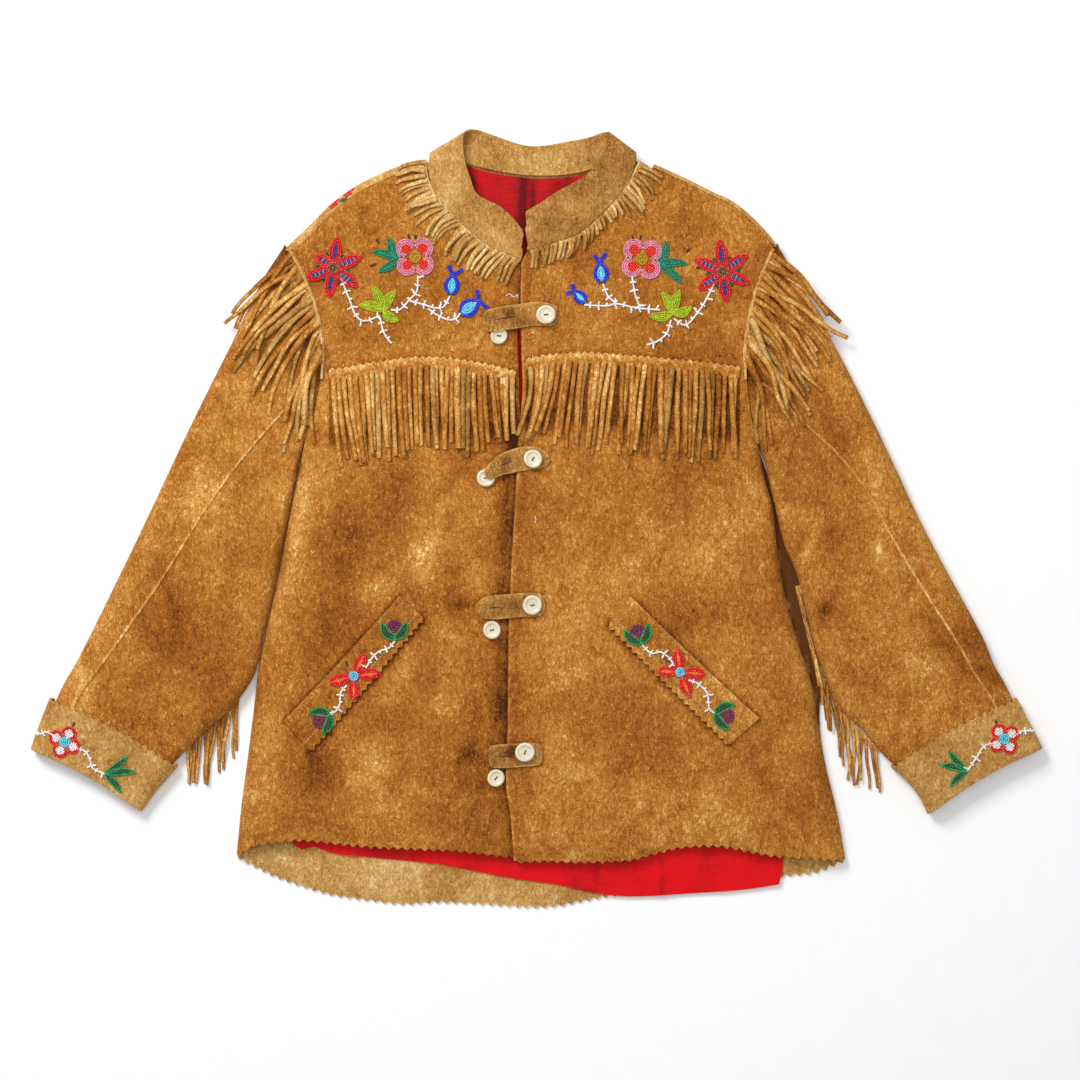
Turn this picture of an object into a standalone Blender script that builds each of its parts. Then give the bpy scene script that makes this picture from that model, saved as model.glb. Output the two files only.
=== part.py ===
"""Beaded hide jacket, laid flat on its back.

Plan sizes are in millimetres: X runs to the viewer's right, Y towards the collar and Z up from the surface.
Left and right are the viewer's. Every cut piece is a closed wall of its own, about 0.3 mm from its neighbours.
"""
import math

import bmesh
import bpy
import numpy as np
from mathutils import Vector
from mathutils.bvhtree import BVHTree

MM = 0.001
HIDE = 2.0  # wall of the garment hide
TRIM = 1.6  # wall of the fringe
WELT = 1.8  # wall of the pocket welts and tabs
LINING = 1.0  # wall of the lining
SEAM = 0.4  # clearance between pieces
ARMHOLE_GAP = 0.9  # clearance in plan where the sleeve meets the body's curved edge
TOOTH_PITCH = 9.0
TOOTH_DEPTH = 3.6
SIGN = {"left": 1, "right": -1}

# The body's outlines. Columns: x, y
ARMHOLE = {"left": ((-252, 276), (-231, 80)), "right": ((242, 277), (221, 80))}
ARMHOLE_BOW = {"left": 26, "right": 20}
SHOULDER_CORNER = 0.035  # share of the armhole where the front's shoulder corner lies
SHOULDER_EDGE = {
    "left": [(-246, 278), (-226, 297), (-206, 317), (-186, 332), (-166, 343), (-146, 352), (-132, 357)],
    "right": [(236, 284), (217, 304), (197, 320), (176, 330), (152, 342), (128, 353), (119, 357)],
}
SHOULDER_SEAM_IN = {"left": 8.0, "right": 4.5}  # how far the back comes over the shoulder
SHOULDER_UNDER = 10.0
SHOULDER_TOP = 15.6
NECKLINE = {
    "left": [(-116, 352.5), (-108, 342), (-100, 327), (-87, 313), (-74, 299), (-59, 286), (-46, 277),
             (-30, 270), (-15, 264)],
    "right": [(104, 355), (92, 342), (84, 332), (71, 316), (60, 304), (50, 296), (34, 286), (12, 279),
              (-6, 273)],
}
SIDE = {
    "left": [(-231, 80), (-238, 50), (-248, 0), (-259, -60), (-268, -100), (-278, -150), (-285, -200),
             (-290, -240), (-296, -285), (-301, -336)],
    "right": [(221, 80), (230, 38), (237, 12), (242, -33), (249, -74), (260, -116), (272, -150),
              (280, -178), (285, -217), (293, -255), (303, -295), (311, -340)],
}
CENTRE_FRONT = [(-14, 262), (-15, 220), (-14, 170), (-13, 130), (-16, 90), (-21, 7), (-25.5, -74),
                (-27, -124), (-28, -209), (-29.7, -265), (-25.5, -293), (-22, -338)]
FRONT_HEM = {
    "left": [(-301, -336), (-283, -325), (-260, -321), (-230, -319), (-196, -323), (-157, -326),
             (-111, -328), (-76, -330), (-42, -334), (-22, -337)],
    "right": [(311, -340), (274, -337), (240, -335), (212, -330), (184, -325), (148, -326), (113, -334),
              (93, -339), (49, -341), (10, -340), (-22, -341)],
}
# How far the left front passes the right front's edge. Columns: y, lap
LAP = [(-345, 3.5), (75, 3.5), (130, -4.5), (190, -4.5), (225, -1.2), (270, -1.2)]
LAP_DIP = 2.8
LAP_DIP_WIDTH = 26.0
LAP_DIP_TOP = (110, 150)  # the dip fades out between these heights of the front
# The fronts' outer face over the surface. Columns: y, height
FRONT_HEIGHT = [(-345, 12.5), (-300, 15.0), (-200, 16.5), (0, 18.0), (150, 18.0), (270, 16.5), (365, 15.0)]
SIDE_ROLL = 20.0
SIDE_EDGE_Z = HIDE + SEAM
FRONT_COLUMNS = [0, .012, .03, .06, .11, .19, .28, .37, .46, .55, .64, .73, .82, .91, 1]
NECK_COLUMN = 9
ARMHOLE_ROWS = 8
SIDE_ROWS = 12

# Soft troughs in the upper cloth. Columns: x and y of both ends, half width, depth
BODY_FOLDS = [
    (-131, 90, -118, -75, 16, 2.6),
    (-205, -255, -203, -335, 14, 2.4),
    (104, -250, 136, -335, 16, 2.4),
    (-187, 285, -178, 190, 16, 1.6),
    (-85, -45, -55, -95, 34, 2.0),
    (-215, 60, -232, -60, 16, 1.8),
    (205, 100, 226, -60, 16, 2.2),
    (60, 90, 76, -30, 20, 1.5),
    (160, 10, 120, -60, 20, 1.6),
]
SLEEVE_FOLDS = [
    (282, 90, 301, -20, 12, 3.2),
    (306, -60, 319, -135, 12, 3.0),
    (-268, 40, -300, -60, 14, 2.4),
    (-350, 20, -392, -110, 16, 2.0),
    (-425, -112, -360, -190, 12, 1.8),
    (402, -20, 352, -118, 14, 2.0),
    (430, -125, 372, -190, 12, 1.8),
]

# The back and the lining. The back's right side is cut fuller than the front's and fills the gap by the sleeve.
BACK_SIDE = {
    "left": SIDE["left"],
    "right": [(221, 80), (230, 40), (239, 10), (249, -26), (262, -58), (272, -96), (283, -138), (288, -160),
              (285, -196), (290, -240), (303, -295), (311, -340)],
}
CENTRE_BACK_X = 22.0
BACK_NECK = [(-100, 366), (-72, 361), (-53, 355), (-12, 350), (CENTRE_BACK_X, 349), (53, 353), (78, 362),
             (96, 366)]
BACK_HEM = [(-301, -336), (-283, -346), (-260, -357), (-232, -367), (-203, -375), (-168, -380),
            (-134, -384), (-99, -382), (-53, -384), (-7, -387), (CENTRE_BACK_X, -386), (56, -379),
            (83, -375), (150, -372), (200, -365), (249, -356), (281, -352), (311, -340)]
LINING_OUTLINE = [
    (-98, 352), (-72, 357), (-53, 351), (-12, 344), (27, 344), (53, 349), (75, 356), (92, 350),
    (196, 268), (186, 90), (205, -40), (238, -170), (247, -310), (249, -338), (245, -364), (239, -367),
    (205, -372), (159, -375), (113, -378), (83, -378), (56, -374), (24, -367), (4, -364), (-30, -359),
    (-65, -352), (-88, -347), (-134, -342), (-177, -338), (-203, -335), (-226, -327), (-245, -320),
    (-238, -170), (-205, -20), (-192, 90), (-200, 268),
]

# Sleeve sections from the armhole to inside the cuff.
# Columns: outer x, outer y, inner x, inner y, bow, front seam's share of the width, lower z, upper z
SLEEVE = {
    "left": [
        (-252, 276, -231, 80, 26, .74, 0, 16.5),
        (-276, 238, -238.4, 58, 14, .66, 0, 17.0),
        (-304, 180, -246.2, 23, 5, .56, 0, 17.0),
        (-334, 120, -255.8, -27, 0, .44, 0, 17.0),
        (-363, 60, -266, -78, 0, .34, 0, 17.0),
        (-391, 0, -275.6, -118, 0, .28, 0, 17.0),
        (-420, -60, -283, -155, 0, .22, 0, 16.6),
        (-447, -115, -305, -188, 0, .17, 0.2, 16.0),
        (-463, -146, -332, -212, 2, .15, 1.3, 15.4),
        (-474, -165, -352, -232, 4, .14, 2.5, 15.0),
        (-489, -198, -382, -262, 5, .14, 2.5, 15.0),
    ],
    "right": [
        (242, 277, 221, 80, 20, .70, 0, 16.5),
        (263, 240, 229.5, 58, 11, .60, 0, 17.0),
        (297, 180, 239.6, 20, 4, .50, 0, 17.0),
        (328, 120, 249.5, -22, 0, .36, 0, 17.0),
        (357, 60, 263, -55, 0, .27, 0, 17.0),
        (385, 0, 273, -95, 0, .23, 0, 17.0),
        (417, -60, 284, -138, 0, .19, 0, 16.6),
        (447, -115, 304, -186, 0, .16, 0.2, 16.0),
        (460, -146, 328, -211, 2, .15, 1.3, 15.4),
        (471, -165, 348, -235, 4, .14, 2.5, 15.0),
        (486, -198, 378, -262, 5, .14, 2.5, 15.0),
    ],
}
SLEEVE_RINGS = 17
OUTER_ROLL = 14.0
INNER_ROLL = 16.0
MIDDLE_SHARE = 0.45  # height of the sleeve's side edge, as a share of its thickness

# Cuff sections from its open end to its pinked edge. Columns: outer x, outer y, inner x, inner y
CUFF = {
    "left": [(-507, -229, -395, -292), (-501, -212, -384, -276), (-495, -196, -372, -262),
             (-489, -181, -361, -249)],
    "right": [(508, -228, 393, -295), (500, -212, 384, -277), (492, -197, 371, -261),
              (484, -181, 358, -250)],
}
CUFF_BOW = 5.0
CUFF_TOP = 17.6

# Collar sections from the left front edge round the neck to the right one; z is that of its outer face.
# Columns: seam x, y, z, free edge x, y, z, and 1 where the seam laps the front
COLLAR = [
    (-14.5, 264, 18.6, -13.2, 290, 17.6, 1),
    (-30, 270, 18.6, -27, 306, 17.8, 1),
    (-46, 277, 18.6, -39, 315, 18.0, 1),
    (-58, 286, 18.6, -50, 320, 18.2, 1),
    (-73, 299, 18.6, -60, 327, 18.2, 1),
    (-85, 313, 18.6, -66, 342, 18.2, 1),
    (-98, 328, 18.4, -71, 358, 18.0, 1),
    (-104, 345, 18.0, -73, 374, 17.6, 1),
    (-107, 361, 17.4, -72, 387, 16.8, 0),
    (-103, 370, 9.8, -66, 392, 10.4, 0),
    (-85, 364, 4.2, -57, 391, 5.6, 0),
    (-53, 354, 4.2, -46, 387, 5.4, 0),
    (-12, 347, 4.2, -6, 375, 5.4, 0),
    (27, 347, 4.2, 34, 380, 5.4, 0),
    (53, 352, 4.2, 54, 384, 5.6, 0),
    (78, 362, 4.2, 65, 388, 5.6, 0),
    (98, 370, 9.8, 74, 389, 10.4, 0),
    (100, 361, 17.4, 74, 381, 16.8, 0),
    (92, 344, 18.0, 66, 363, 17.6, 1),
    (84, 332, 18.4, 54, 348, 18.0, 1),
    (71, 316, 18.6, 38, 337, 18.2, 1),
    (50, 296, 18.6, 21, 328, 18.2, 1),
    (34, 286, 18.6, 5, 317, 18.0, 1),
    (12, 279, 18.6, -4, 312, 17.8, 1),
    (-9, 273, 18.6, -11.4, 307, 17.6, 1),
]
COLLAR_LAP = 3.0
COLLAR_COLUMNS = 5
COLLAR_RINGS = 38

# Pocket welts: the plain edge's lower and upper corner, then the pinked edge's. Columns: x, y
WELT_CORNERS = {
    "left": [(-252, -201), (-136, -76), (-226, -230), (-113, -97)],
    "right": [(95, -77), (223, -198), (73, -104), (194, -224)],
}

# Closing tabs, from the loop end to the button end. Columns: x, y
TAB_WIDTH = 23.0
TABS = [
    [(-51, 198), (-27, 202), (0, 206), (21, 204)],
    [(-50, 44), (-31, 56), (-6, 62), (14, 59)],
    [(-58, -89), (-36, -87), (-13, -85), (9, -85)],
    [(-47, -237), (-28, -236), (-11, -235), (6, -234)],
]
# Buttons. Columns: x, y, radius, and 1 where the tab lies over it
BUTTONS = [
    (-37, 184, 8.5, 1), (10, 205, 9.7, 0),
    (-50, 42, 9.0, 0), (-3, 61, 9.3, 0),
    (-44, -110, 9.0, 0), (-3.6, -85, 9.8, 0),
    (-40, -258, 8.7, 0), (-11, -232, 9.8, 0),
]
BUTTON_THICKNESS = 3.2
BUTTON_SIDES = 12

# Fringe. The strands hang to the right of the strip's path.
# path: x, y. strip: depth of the backing. strand share: strand's share of the pitch.
# aim and length: share of the path, degrees from +X or millimetres.
FRINGE = {
    "fringe_yoke_left": dict(
        path=[(-207, 149), (-188, 151), (-163, 156), (-122, 161), (-86, 160), (-48, 154), (-20, 147)],
        count=27, strip=11, tooth=3.4, share=.62, width=4.2, bend=5, steps=3,
        aim=[(0, 266), (.5, 269), (1, 271)],
        length=[(0, 76), (.4, 84), (.8, 78), (.86, 62), (1, 52)]),
    "fringe_yoke_right": dict(
        path=[(-10, 159), (17, 164), (46, 166), (80, 164), (114, 161), (150, 158), (186, 154), (204, 151)],
        count=29, strip=11, tooth=3.4, share=.62, width=4.2, bend=-5, steps=3,
        aim=[(0, 268), (.2, 264), (.6, 266), (1, 271)],
        length=[(0, 62), (.16, 66), (.22, 84), (.6, 88), (1, 84)]),
    "fringe_collar_left": dict(
        path=[(-112, 360.5), (-111, 345), (-103.5, 326), (-90, 310.5), (-77, 296), (-62, 282.5), (-48.5, 273),
              (-32, 265.5), (-16, 259.5)],
        count=24, strip=4.5, tooth=0, share=.62, width=3.0, bend=2, steps=2,
        aim=[(0, 190), (.3, 204), (.7, 232), (1, 262)],
        length=[(0, 18), (.3, 24), (1, 20)]),
    "fringe_collar_right": dict(
        path=[(-6, 269), (12.5, 274.5), (36, 281.5), (53.5, 292), (74.5, 312), (88.5, 329), (97.5, 343),
              (105, 357)],
        count=22, strip=4.5, tooth=0, share=.62, width=3.0, bend=-2, steps=2,
        aim=[(0, 276), (.3, 300), (.7, 316), (1, 340)],
        length=[(0, 17), (.3, 22), (1, 16)]),
}
# Fringe under the sleeve's inner edge. span: y where the strip starts and ends
SLEEVE_FRINGE = dict(strip=5, tooth=0, share=.45, width=3.4, bend=2, steps=2)
# under: how far the strip reaches under the rolled edge
SLEEVE_FRINGE_SIDES = {
    "left": dict(under=4.0, span=(-231, -181), count=10, aim=[(0, 268), (1, 262)],
                 length=[(0, 34), (.5, 54), (1, 46)]),
    "right": dict(under=1.0, span=(-148, -232), count=12, aim=[(0, 277), (1, 273)],
                  length=[(0, 44), (.5, 56), (1, 38)]),
}
ARMHOLE_FRINGE = dict(count=16, strip=8, tooth=0, share=.55, width=3.2, bend=5, steps=3)
ARMHOLE_FRINGE_SPAN = (.05, .62)  # shares of the armhole
ARMHOLE_FRINGE_IN = 3.0  # how far the strip lies over the body's edge
ARMHOLE_FRINGE_AIM = {"left": [(0, 226), (.5, 237), (1, 254)], "right": [(0, 288), (.5, 305), (1, 317)]}
ARMHOLE_FRINGE_LENGTH = {"left": [(0, 86), (.4, 98), (1, 94)], "right": [(0, 90), (.6, 98), (1, 82)]}
STEEPEST_DROP = 0.3  # most a strand drops per millimetre of its run
STRAND_FLOOR = 0.5


def smooth_path(points, shares):
    """Points at the given shares of the length of a smooth curve through the table's points."""
    known = np.array(points, float)
    ends = np.vstack([2 * known[0] - known[1], known, 2 * known[-1] - known[-2]])
    t = np.linspace(0, 1, 12, endpoint=False)[:, None]
    spans = [
        0.5 * (2 * b + (c - a) * t + (2 * a - 5 * b + 4 * c - d) * t**2 + (3 * b - 3 * c + d - a) * t**3)
        for a, b, c, d in zip(ends, ends[1:], ends[2:], ends[3:])
    ]
    dense = np.vstack(spans + [known[-1:]])
    run = np.concatenate([[0], np.cumsum(np.linalg.norm(np.diff(dense, axis=0), axis=1))])
    at = np.asarray(shares) * run[-1]
    return np.column_stack([np.interp(at, run, dense[:, k]) for k in range(dense.shape[1])])


def even(count):
    """Even shares from 0 to 1."""
    return np.linspace(0, 1, count)


def unit(vectors):
    return vectors / np.maximum(np.linalg.norm(vectors, axis=-1, keepdims=True), 1e-9)


def to_the_right(path):
    """Unit normals on the right-hand side of a plan path."""
    along = unit(np.gradient(path, axis=0))
    return np.column_stack([along[:, 1], -along[:, 0]])


def vary(index, kind):
    """A fixed number from -1 to 1 that differs from one index to the next."""
    return 2 * ((math.sin(12.9898 * index + 78.233 * kind) * 43758.5453) % 1) - 1


def read(table, at):
    """Value of a two-column table at the given place."""
    rows = sorted(table)
    return np.interp(at, [row[0] for row in rows], [row[1] for row in rows])


def add_node(name, points, faces):
    """A closed solid from points in millimetres."""
    shape = bmesh.new()
    corners = [shape.verts.new(Vector(p) * MM) for p in points]
    for face in faces:
        shape.faces.new([corners[i] for i in face])
    bmesh.ops.recalc_face_normals(shape, faces=shape.faces)
    mesh = bpy.data.meshes.new(name)
    shape.to_mesh(mesh)
    shape.free()
    bpy.context.collection.objects.link(bpy.data.objects.new(name, mesh))


def plate(name, outline, low, high):
    """A flat piece with straight sides."""
    count = len(outline)
    points = [(x, y, low) for x, y in outline] + [(x, y, high) for x, y in outline]
    faces = [list(range(count))[::-1], list(range(count, 2 * count))]
    faces += [(i, (i + 1) % count, count + (i + 1) % count, count + i) for i in range(count)]
    add_node(name, points, faces)


def pinked(path, pitch=TOOTH_PITCH, depth=TOOTH_DEPTH):
    """The path cut in teeth that stand out on its right."""
    length = np.linalg.norm(np.diff(np.array(path, float), axis=0), axis=1).sum()
    line = smooth_path(path, even(2 * round(length / pitch) + 1))
    line[1::2] += depth * to_the_right(line)[1::2]
    return line


def grid_normals(grid, closed):
    """Unit normals of a grid of points, rows by columns."""
    def along(lines):
        step = unit(np.diff(lines, axis=0))
        return unit(np.concatenate([step[:1], step[1:] + step[:-1], step[-1:]]))
    down = along(grid)
    if closed:
        wrapped = np.concatenate([grid[:, -1:], grid, grid[:, :1]], axis=1)
        across = np.swapaxes(along(np.swapaxes(wrapped, 0, 1)), 0, 1)[:, 1:-1]
    else:
        across = np.swapaxes(along(np.swapaxes(grid, 0, 1)), 0, 1)
    return unit(np.cross(across, down))


def slab(name, outer, wall, facing=1, lowest=-1e9, teeth=0, closed=False, upright=False, level=()):
    """A wall whose outer face is the grid, and which may be pinked along the grid's last row.

    facing is 1 where the grid's rows by columns turn the outer face up, and -1 where they turn it down.
    level lists the edges, such as (0, -1) on axis 0 or 1, where the wall is level and cut square.
    """
    rows, columns = outer.shape[:2]
    inward = np.array([0, 0, 1.0]) if upright else facing * grid_normals(outer, closed)
    for axis, edge in level:
        at_edge = np.moveaxis(inward, axis, 0)[edge]
        at_edge[:] = np.array([0, 0, 1.0]) * np.sign(at_edge[:, 2:])
    inner = outer - wall * inward
    inner[..., 2] = np.maximum(inner[..., 2], lowest)
    points = list(outer.reshape(-1, 3)) + list(inner.reshape(-1, 3))
    layer = rows * columns
    cells = columns if closed else columns - 1
    tooth_of = {}
    if teeth:
        for c in range(cells):
            n = (c + 1) % columns
            if np.linalg.norm(outer[-1, n] - outer[-1, c]) < 0.6 * TOOTH_PITCH:
                continue
            for side, grid in ((0, outer), (1, inner)):
                edge = grid[-1, n] - grid[-1, c]
                out = unit((grid[-1, c] - grid[-2, c] + grid[-1, n] - grid[-2, n])[None])[0]
                chain = []
                for k in range(1, 2 * teeth):
                    step = grid[-1, c] + edge * k / (2 * teeth) + out * (TOOTH_DEPTH if k % 2 else 0)
                    chain.append(len(points))
                    points.append(step)
                tooth_of[side, c] = chain
    faces = []
    for r in range(rows - 1):
        for c in range(cells):
            n = (c + 1) % columns
            for side in (0, 1):
                base = side * layer
                ring = [base + r * columns + c, base + r * columns + n, base + (r + 1) * columns + n]
                if r == rows - 2:
                    ring += tooth_of.get((side, c), [])[::-1]
                ring.append(base + (r + 1) * columns + c)
                faces.append(ring if side == 0 else ring[::-1])
    for c in range(cells):
        n = (c + 1) % columns
        faces.append((c, n, layer + n, layer + c))
        last = (rows - 1) * columns
        over = [last + c] + tooth_of.get((0, c), []) + [last + n]
        under = [layer + last + c] + tooth_of.get((1, c), []) + [layer + last + n]
        faces += [(a, b, q, p) for a, b, p, q in zip(over, over[1:], under, under[1:])]
    if not closed:
        for r in range(rows - 1):
            for c in (0, columns - 1):
                a, b = r * columns + c, (r + 1) * columns + c
                faces.append((a, b, layer + b, layer + a))
    add_node(name, points, faces)


def troughs(x, y, table):
    """Depth of the soft folds at plan points."""
    depth = np.zeros_like(x)
    for x0, y0, x1, y1, half_width, deepest in table:
        run = np.array([x1 - x0, y1 - y0], float)
        share = np.clip(((x - x0) * run[0] + (y - y0) * run[1]) / (run @ run), 0, 1)
        away = np.hypot(x - x0 - share * run[0], y - y0 - share * run[1])
        depth += deepest * np.exp(-((away / half_width) ** 2))
    return depth


def armhole(side, shares):
    """Plan points down the body's armhole edge."""
    top, bottom = np.array(ARMHOLE[side], float)
    return bowed(top, bottom, ARMHOLE_BOW[side] * SIGN[side], shares)


def bowed(start, end, bow, shares):
    """Points from start to end on a shallow arc that stands off to the left of the way."""
    chord = end - start
    left = unit(np.array([[-chord[1], chord[0]]]))[0]
    shares = np.asarray(shares, float)[:, None]
    return start + chord * shares + left * bow * 4 * shares * (1 - shares)


def shoulder_line(side, inset):
    """The body's shoulder edge from the armhole to the neck, moved in by the inset."""
    line = smooth_path(SHOULDER_EDGE[side], even(13))
    return line + SIGN[side] * inset * to_the_right(line)


class Ground:
    """Heights of pieces already laid, looking straight down."""

    def __init__(self, *names):
        points, faces = [], []
        for name in names:
            mesh = bpy.data.objects[name].data
            first = len(points)
            points += [v.co / MM for v in mesh.vertices]
            faces += [[first + i for i in face.vertices] for face in mesh.polygons]
        self.tree = BVHTree.FromPolygons(points, faces)

    def at(self, x, y):
        hit = self.tree.ray_cast(Vector((x, y, 200)), Vector((0, 0, -1)))[0]
        return hit.z if hit else 0.0

    def around(self, x, y, reach):
        """The highest point near a plan point."""
        turns = [k * math.pi / 4 for k in range(8)]
        near = [(0, 0)] + [(reach * math.cos(a), reach * math.sin(a)) for a in turns]
        return max(self.at(x + dx, y + dy) for dx, dy in near)

    def along(self, path, start_z, reach):
        """Heights of a strand's underside that stay clear of the pieces below it."""
        heights = [start_z]
        for (x0, y0), (x1, y1) in zip(path, path[1:]):
            run = math.hypot(x1 - x0, y1 - y0)
            height = max(self.around(x1, y1, reach) + SEAM, heights[-1] - STEEPEST_DROP * run, STRAND_FLOOR)
            for share in (.2, .4, .6, .8):
                need = self.around(x0 + share * (x1 - x0), y0 + share * (y1 - y0), reach) + SEAM
                line = heights[-1] + share * (height - heights[-1])
                if need > line:
                    height += (need - line) / share
            heights.append(height)
        return heights[1:]


def build_back():
    """Two flat halves with a seam down the middle and a pinked hem."""
    halves = {"left": CENTRE_BACK_X - SEAM / 2, "right": CENTRE_BACK_X + SEAM / 2}
    for side, seam_x in halves.items():
        outward = -SIGN[side]
        neck = [p for p in BACK_NECK if (p[0] - seam_x) * outward > 0]
        if side == "left":
            neck = neck[::-1]
        shoulder = shoulder_line(side, SHOULDER_UNDER + SEAM)[::-1]
        sleeve_edge = armhole(side, np.linspace(SHOULDER_CORNER + .03, 1, 15))
        flank = smooth_path(BACK_SIDE[side], even(16))[1:-1]
        hem = [p for p in BACK_HEM if (p[0] - seam_x) * outward > 0]
        if side == "left":
            hem_line = pinked([(seam_x, -386)] + hem[::-1], depth=-TOOTH_DEPTH)[::-1]
        else:
            hem_line = pinked([(seam_x, -386)] + hem)[::-1]
        outline = np.vstack([[(seam_x, 349)], neck, shoulder, sleeve_edge, flank, hem_line])
        plate(f"back_{side}", outline, 0, HIDE)


def build_lining():
    """Smooth lining over the inside of the back, seen at the neck and below the front hem."""
    low = HIDE + SEAM
    plate("lining_back", smooth_path(LINING_OUTLINE, even(72)), low, low + LINING)


def build_shoulder(side):
    """The strip of the back that comes up over the shoulder to the front's shoulder seam."""
    edge = shoulder_line(side, 0)
    inward = SIGN[side] * to_the_right(edge)
    middle = SHOULDER_TOP / 2
    turns = np.radians([90, 60, 30, 0, -30, -60, -90])
    rows = []
    for turn in turns:
        reach = SHOULDER_SEAM_IN[side] if turn > 0 else SHOULDER_UNDER
        inset = reach * (1 - math.cos(turn))
        height = middle + middle * math.sin(turn)
        rows.append(np.column_stack([edge + inset * inward, np.full(len(edge), height)]))
    slab(f"back_shoulder_{side}", np.array(rows), HIDE, facing=SIGN[side], level=((0, 0), (0, -1)))


def front_edges(side):
    """The front's four edges: top, side, centre and hem."""
    columns = np.array(FRONT_COLUMNS)
    neck_share = columns[NECK_COLUMN]
    corner = armhole(side, [SHOULDER_CORNER])
    shoulder = np.vstack([corner, shoulder_line(side, SHOULDER_SEAM_IN[side] + SEAM + .1)[:-1],
                          NECKLINE[side][:1]])
    top = np.vstack([smooth_path(shoulder, columns[:NECK_COLUMN] / neck_share),
                     smooth_path(NECKLINE[side], (columns[NECK_COLUMN:] - neck_share) / (1 - neck_share))])
    arm = armhole(side, np.linspace(SHOULDER_CORNER, 1, ARMHOLE_ROWS + 1))
    flank = smooth_path(SIDE[side], even(SIDE_ROWS + 1))[1:]
    outer = np.vstack([arm, flank])
    centre = smooth_path(CENTRE_FRONT, even(len(outer)))
    if side == "left":
        centre[:, 0] += read(LAP, centre[:, 1])
    centre[0] = top[-1]
    hem = smooth_path(FRONT_HEM[side], columns)
    hem[0], hem[-1] = outer[-1], centre[-1]
    return top, outer, centre, hem


def build_front(side):
    """Front panel: a smooth patch between its edges, rolled down to the back along the side."""
    top, outer, centre, hem = front_edges(side)
    u = np.array(FRONT_COLUMNS)[None, :, None]
    v = even(len(outer))[:, None, None]
    plan = (1 - v) * top[None] + v * hem[None] + (1 - u) * outer[:, None] + u * centre[:, None]
    plan -= (1 - v) * ((1 - u) * top[0] + u * top[-1]) + v * ((1 - u) * hem[0] + u * hem[-1])
    x, y = plan[..., 0], plan[..., 1]
    height = read(FRONT_HEIGHT, y) - troughs(x, y, BODY_FOLDS)
    if side == "left":
        near = np.clip(1 - np.abs(x - centre[:, None, 0]) / LAP_DIP_WIDTH, 0, 1)
        fade = np.interp(y, LAP_DIP_TOP, (1, 0))
        height -= LAP_DIP * near**2 * (3 - 2 * near) * fade
    away = np.linalg.norm(plan - plan[:, :1], axis=2)
    inside = np.clip(1 - away / SIDE_ROLL, 0, 1)
    drop = 1 - np.sqrt(1 - inside**2)
    below_arm = np.clip((ARMHOLE[side][1][1] - y[:, :1] + 8) / 45, 0, 1)
    below_arm = below_arm**2 * (3 - 2 * below_arm)
    height -= below_arm * (height - SIDE_EDGE_Z) * drop
    grid = np.concatenate([plan, height[..., None]], axis=2)
    slab(f"front_{side}", grid, HIDE, facing=-SIGN[side], lowest=SIDE_EDGE_Z - .05, teeth=2)


def sleeve_sections(side):
    """Sections along the sleeve, with the first one clear of the body."""
    table = smooth_path(SLEEVE[side], even(SLEEVE_RINGS))
    table[0, [0, 2]] -= SIGN[side] * ARMHOLE_GAP
    return table


def half_contours(width, seam, low, high, under_gap):
    """The sleeve's outline from its two cut pieces, as distance from the outer edge and height."""
    middle = low + MIDDLE_SHARE * (high - low)
    turns = np.radians([30, 60, 90])
    seam_at = seam * width
    front = [(s, high) for s in np.linspace(seam_at + SEAM / 2, width - OUTER_ROLL, 6)]
    front += [(width - OUTER_ROLL + OUTER_ROLL * math.sin(a), middle + (high - middle) * math.cos(a))
              for a in turns]
    front += [(width - INNER_ROLL + INNER_ROLL * math.cos(a), middle - (middle - low) * math.sin(a))
              for a in turns]
    back = [(s, high) for s in np.linspace(seam_at - SEAM / 2, OUTER_ROLL, 5)]
    back += [(OUTER_ROLL - OUTER_ROLL * math.sin(a), middle + (high - middle) * math.cos(a)) for a in turns]
    back += [(OUTER_ROLL - OUTER_ROLL * math.cos(a), middle - (middle - low) * math.sin(a)) for a in turns]
    back += [(s, low) for s in np.linspace(OUTER_ROLL, width - INNER_ROLL - under_gap, 5)[1:]]
    return front, back


def place_contour(contour, section, side, fold):
    """Plan and height of a contour across one section."""
    start, end, bow = section[:2], section[2:4], section[4]
    width = np.linalg.norm(end - start)
    contour = np.array(contour)
    plan = bowed(start, end, bow * SIGN[side], contour[:, 0] / width)
    height = contour[:, 1].copy()
    upper = height > 0.8 * section[7]
    height[upper] -= fold * troughs(plan[upper, 0], plan[upper, 1], SLEEVE_FOLDS)
    return np.column_stack([plan, height])


def build_sleeve(side):
    """Each sleeve is a flattened tube of two cut pieces, joined by a front seam and an under seam."""
    front_rows, back_rows = [], []
    sections = sleeve_sections(side)
    chords = unit(sections[:, 2:4] - sections[:, :2])
    inner_runs = unit(np.gradient(sections[:, 2:4], axis=0))
    slants = np.abs(chords[:, 0] * inner_runs[:, 1] - chords[:, 1] * inner_runs[:, 0])
    for index, section in enumerate(sections):
        width = np.linalg.norm(section[2:4] - section[:2])
        low = max(section[6], 0)
        under_gap = 2 * SEAM / max(slants[index], .12)
        front, back = half_contours(width, section[5], low, section[7], under_gap)
        fold = np.clip(index / 3, 0, 1) * np.clip((len(sections) - 3 - index) / 3, 0, 1)
        front_rows.append(place_contour(front, section, side, fold))
        back_rows.append(place_contour(back, section, side, fold))
    seams = ((1, 0), (1, -1))
    slab(f"sleeve_front_{side}", np.array(front_rows), HIDE, facing=-SIGN[side], level=seams)
    slab(f"sleeve_back_{side}", np.array(back_rows), HIDE, facing=SIGN[side], level=seams)


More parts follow.
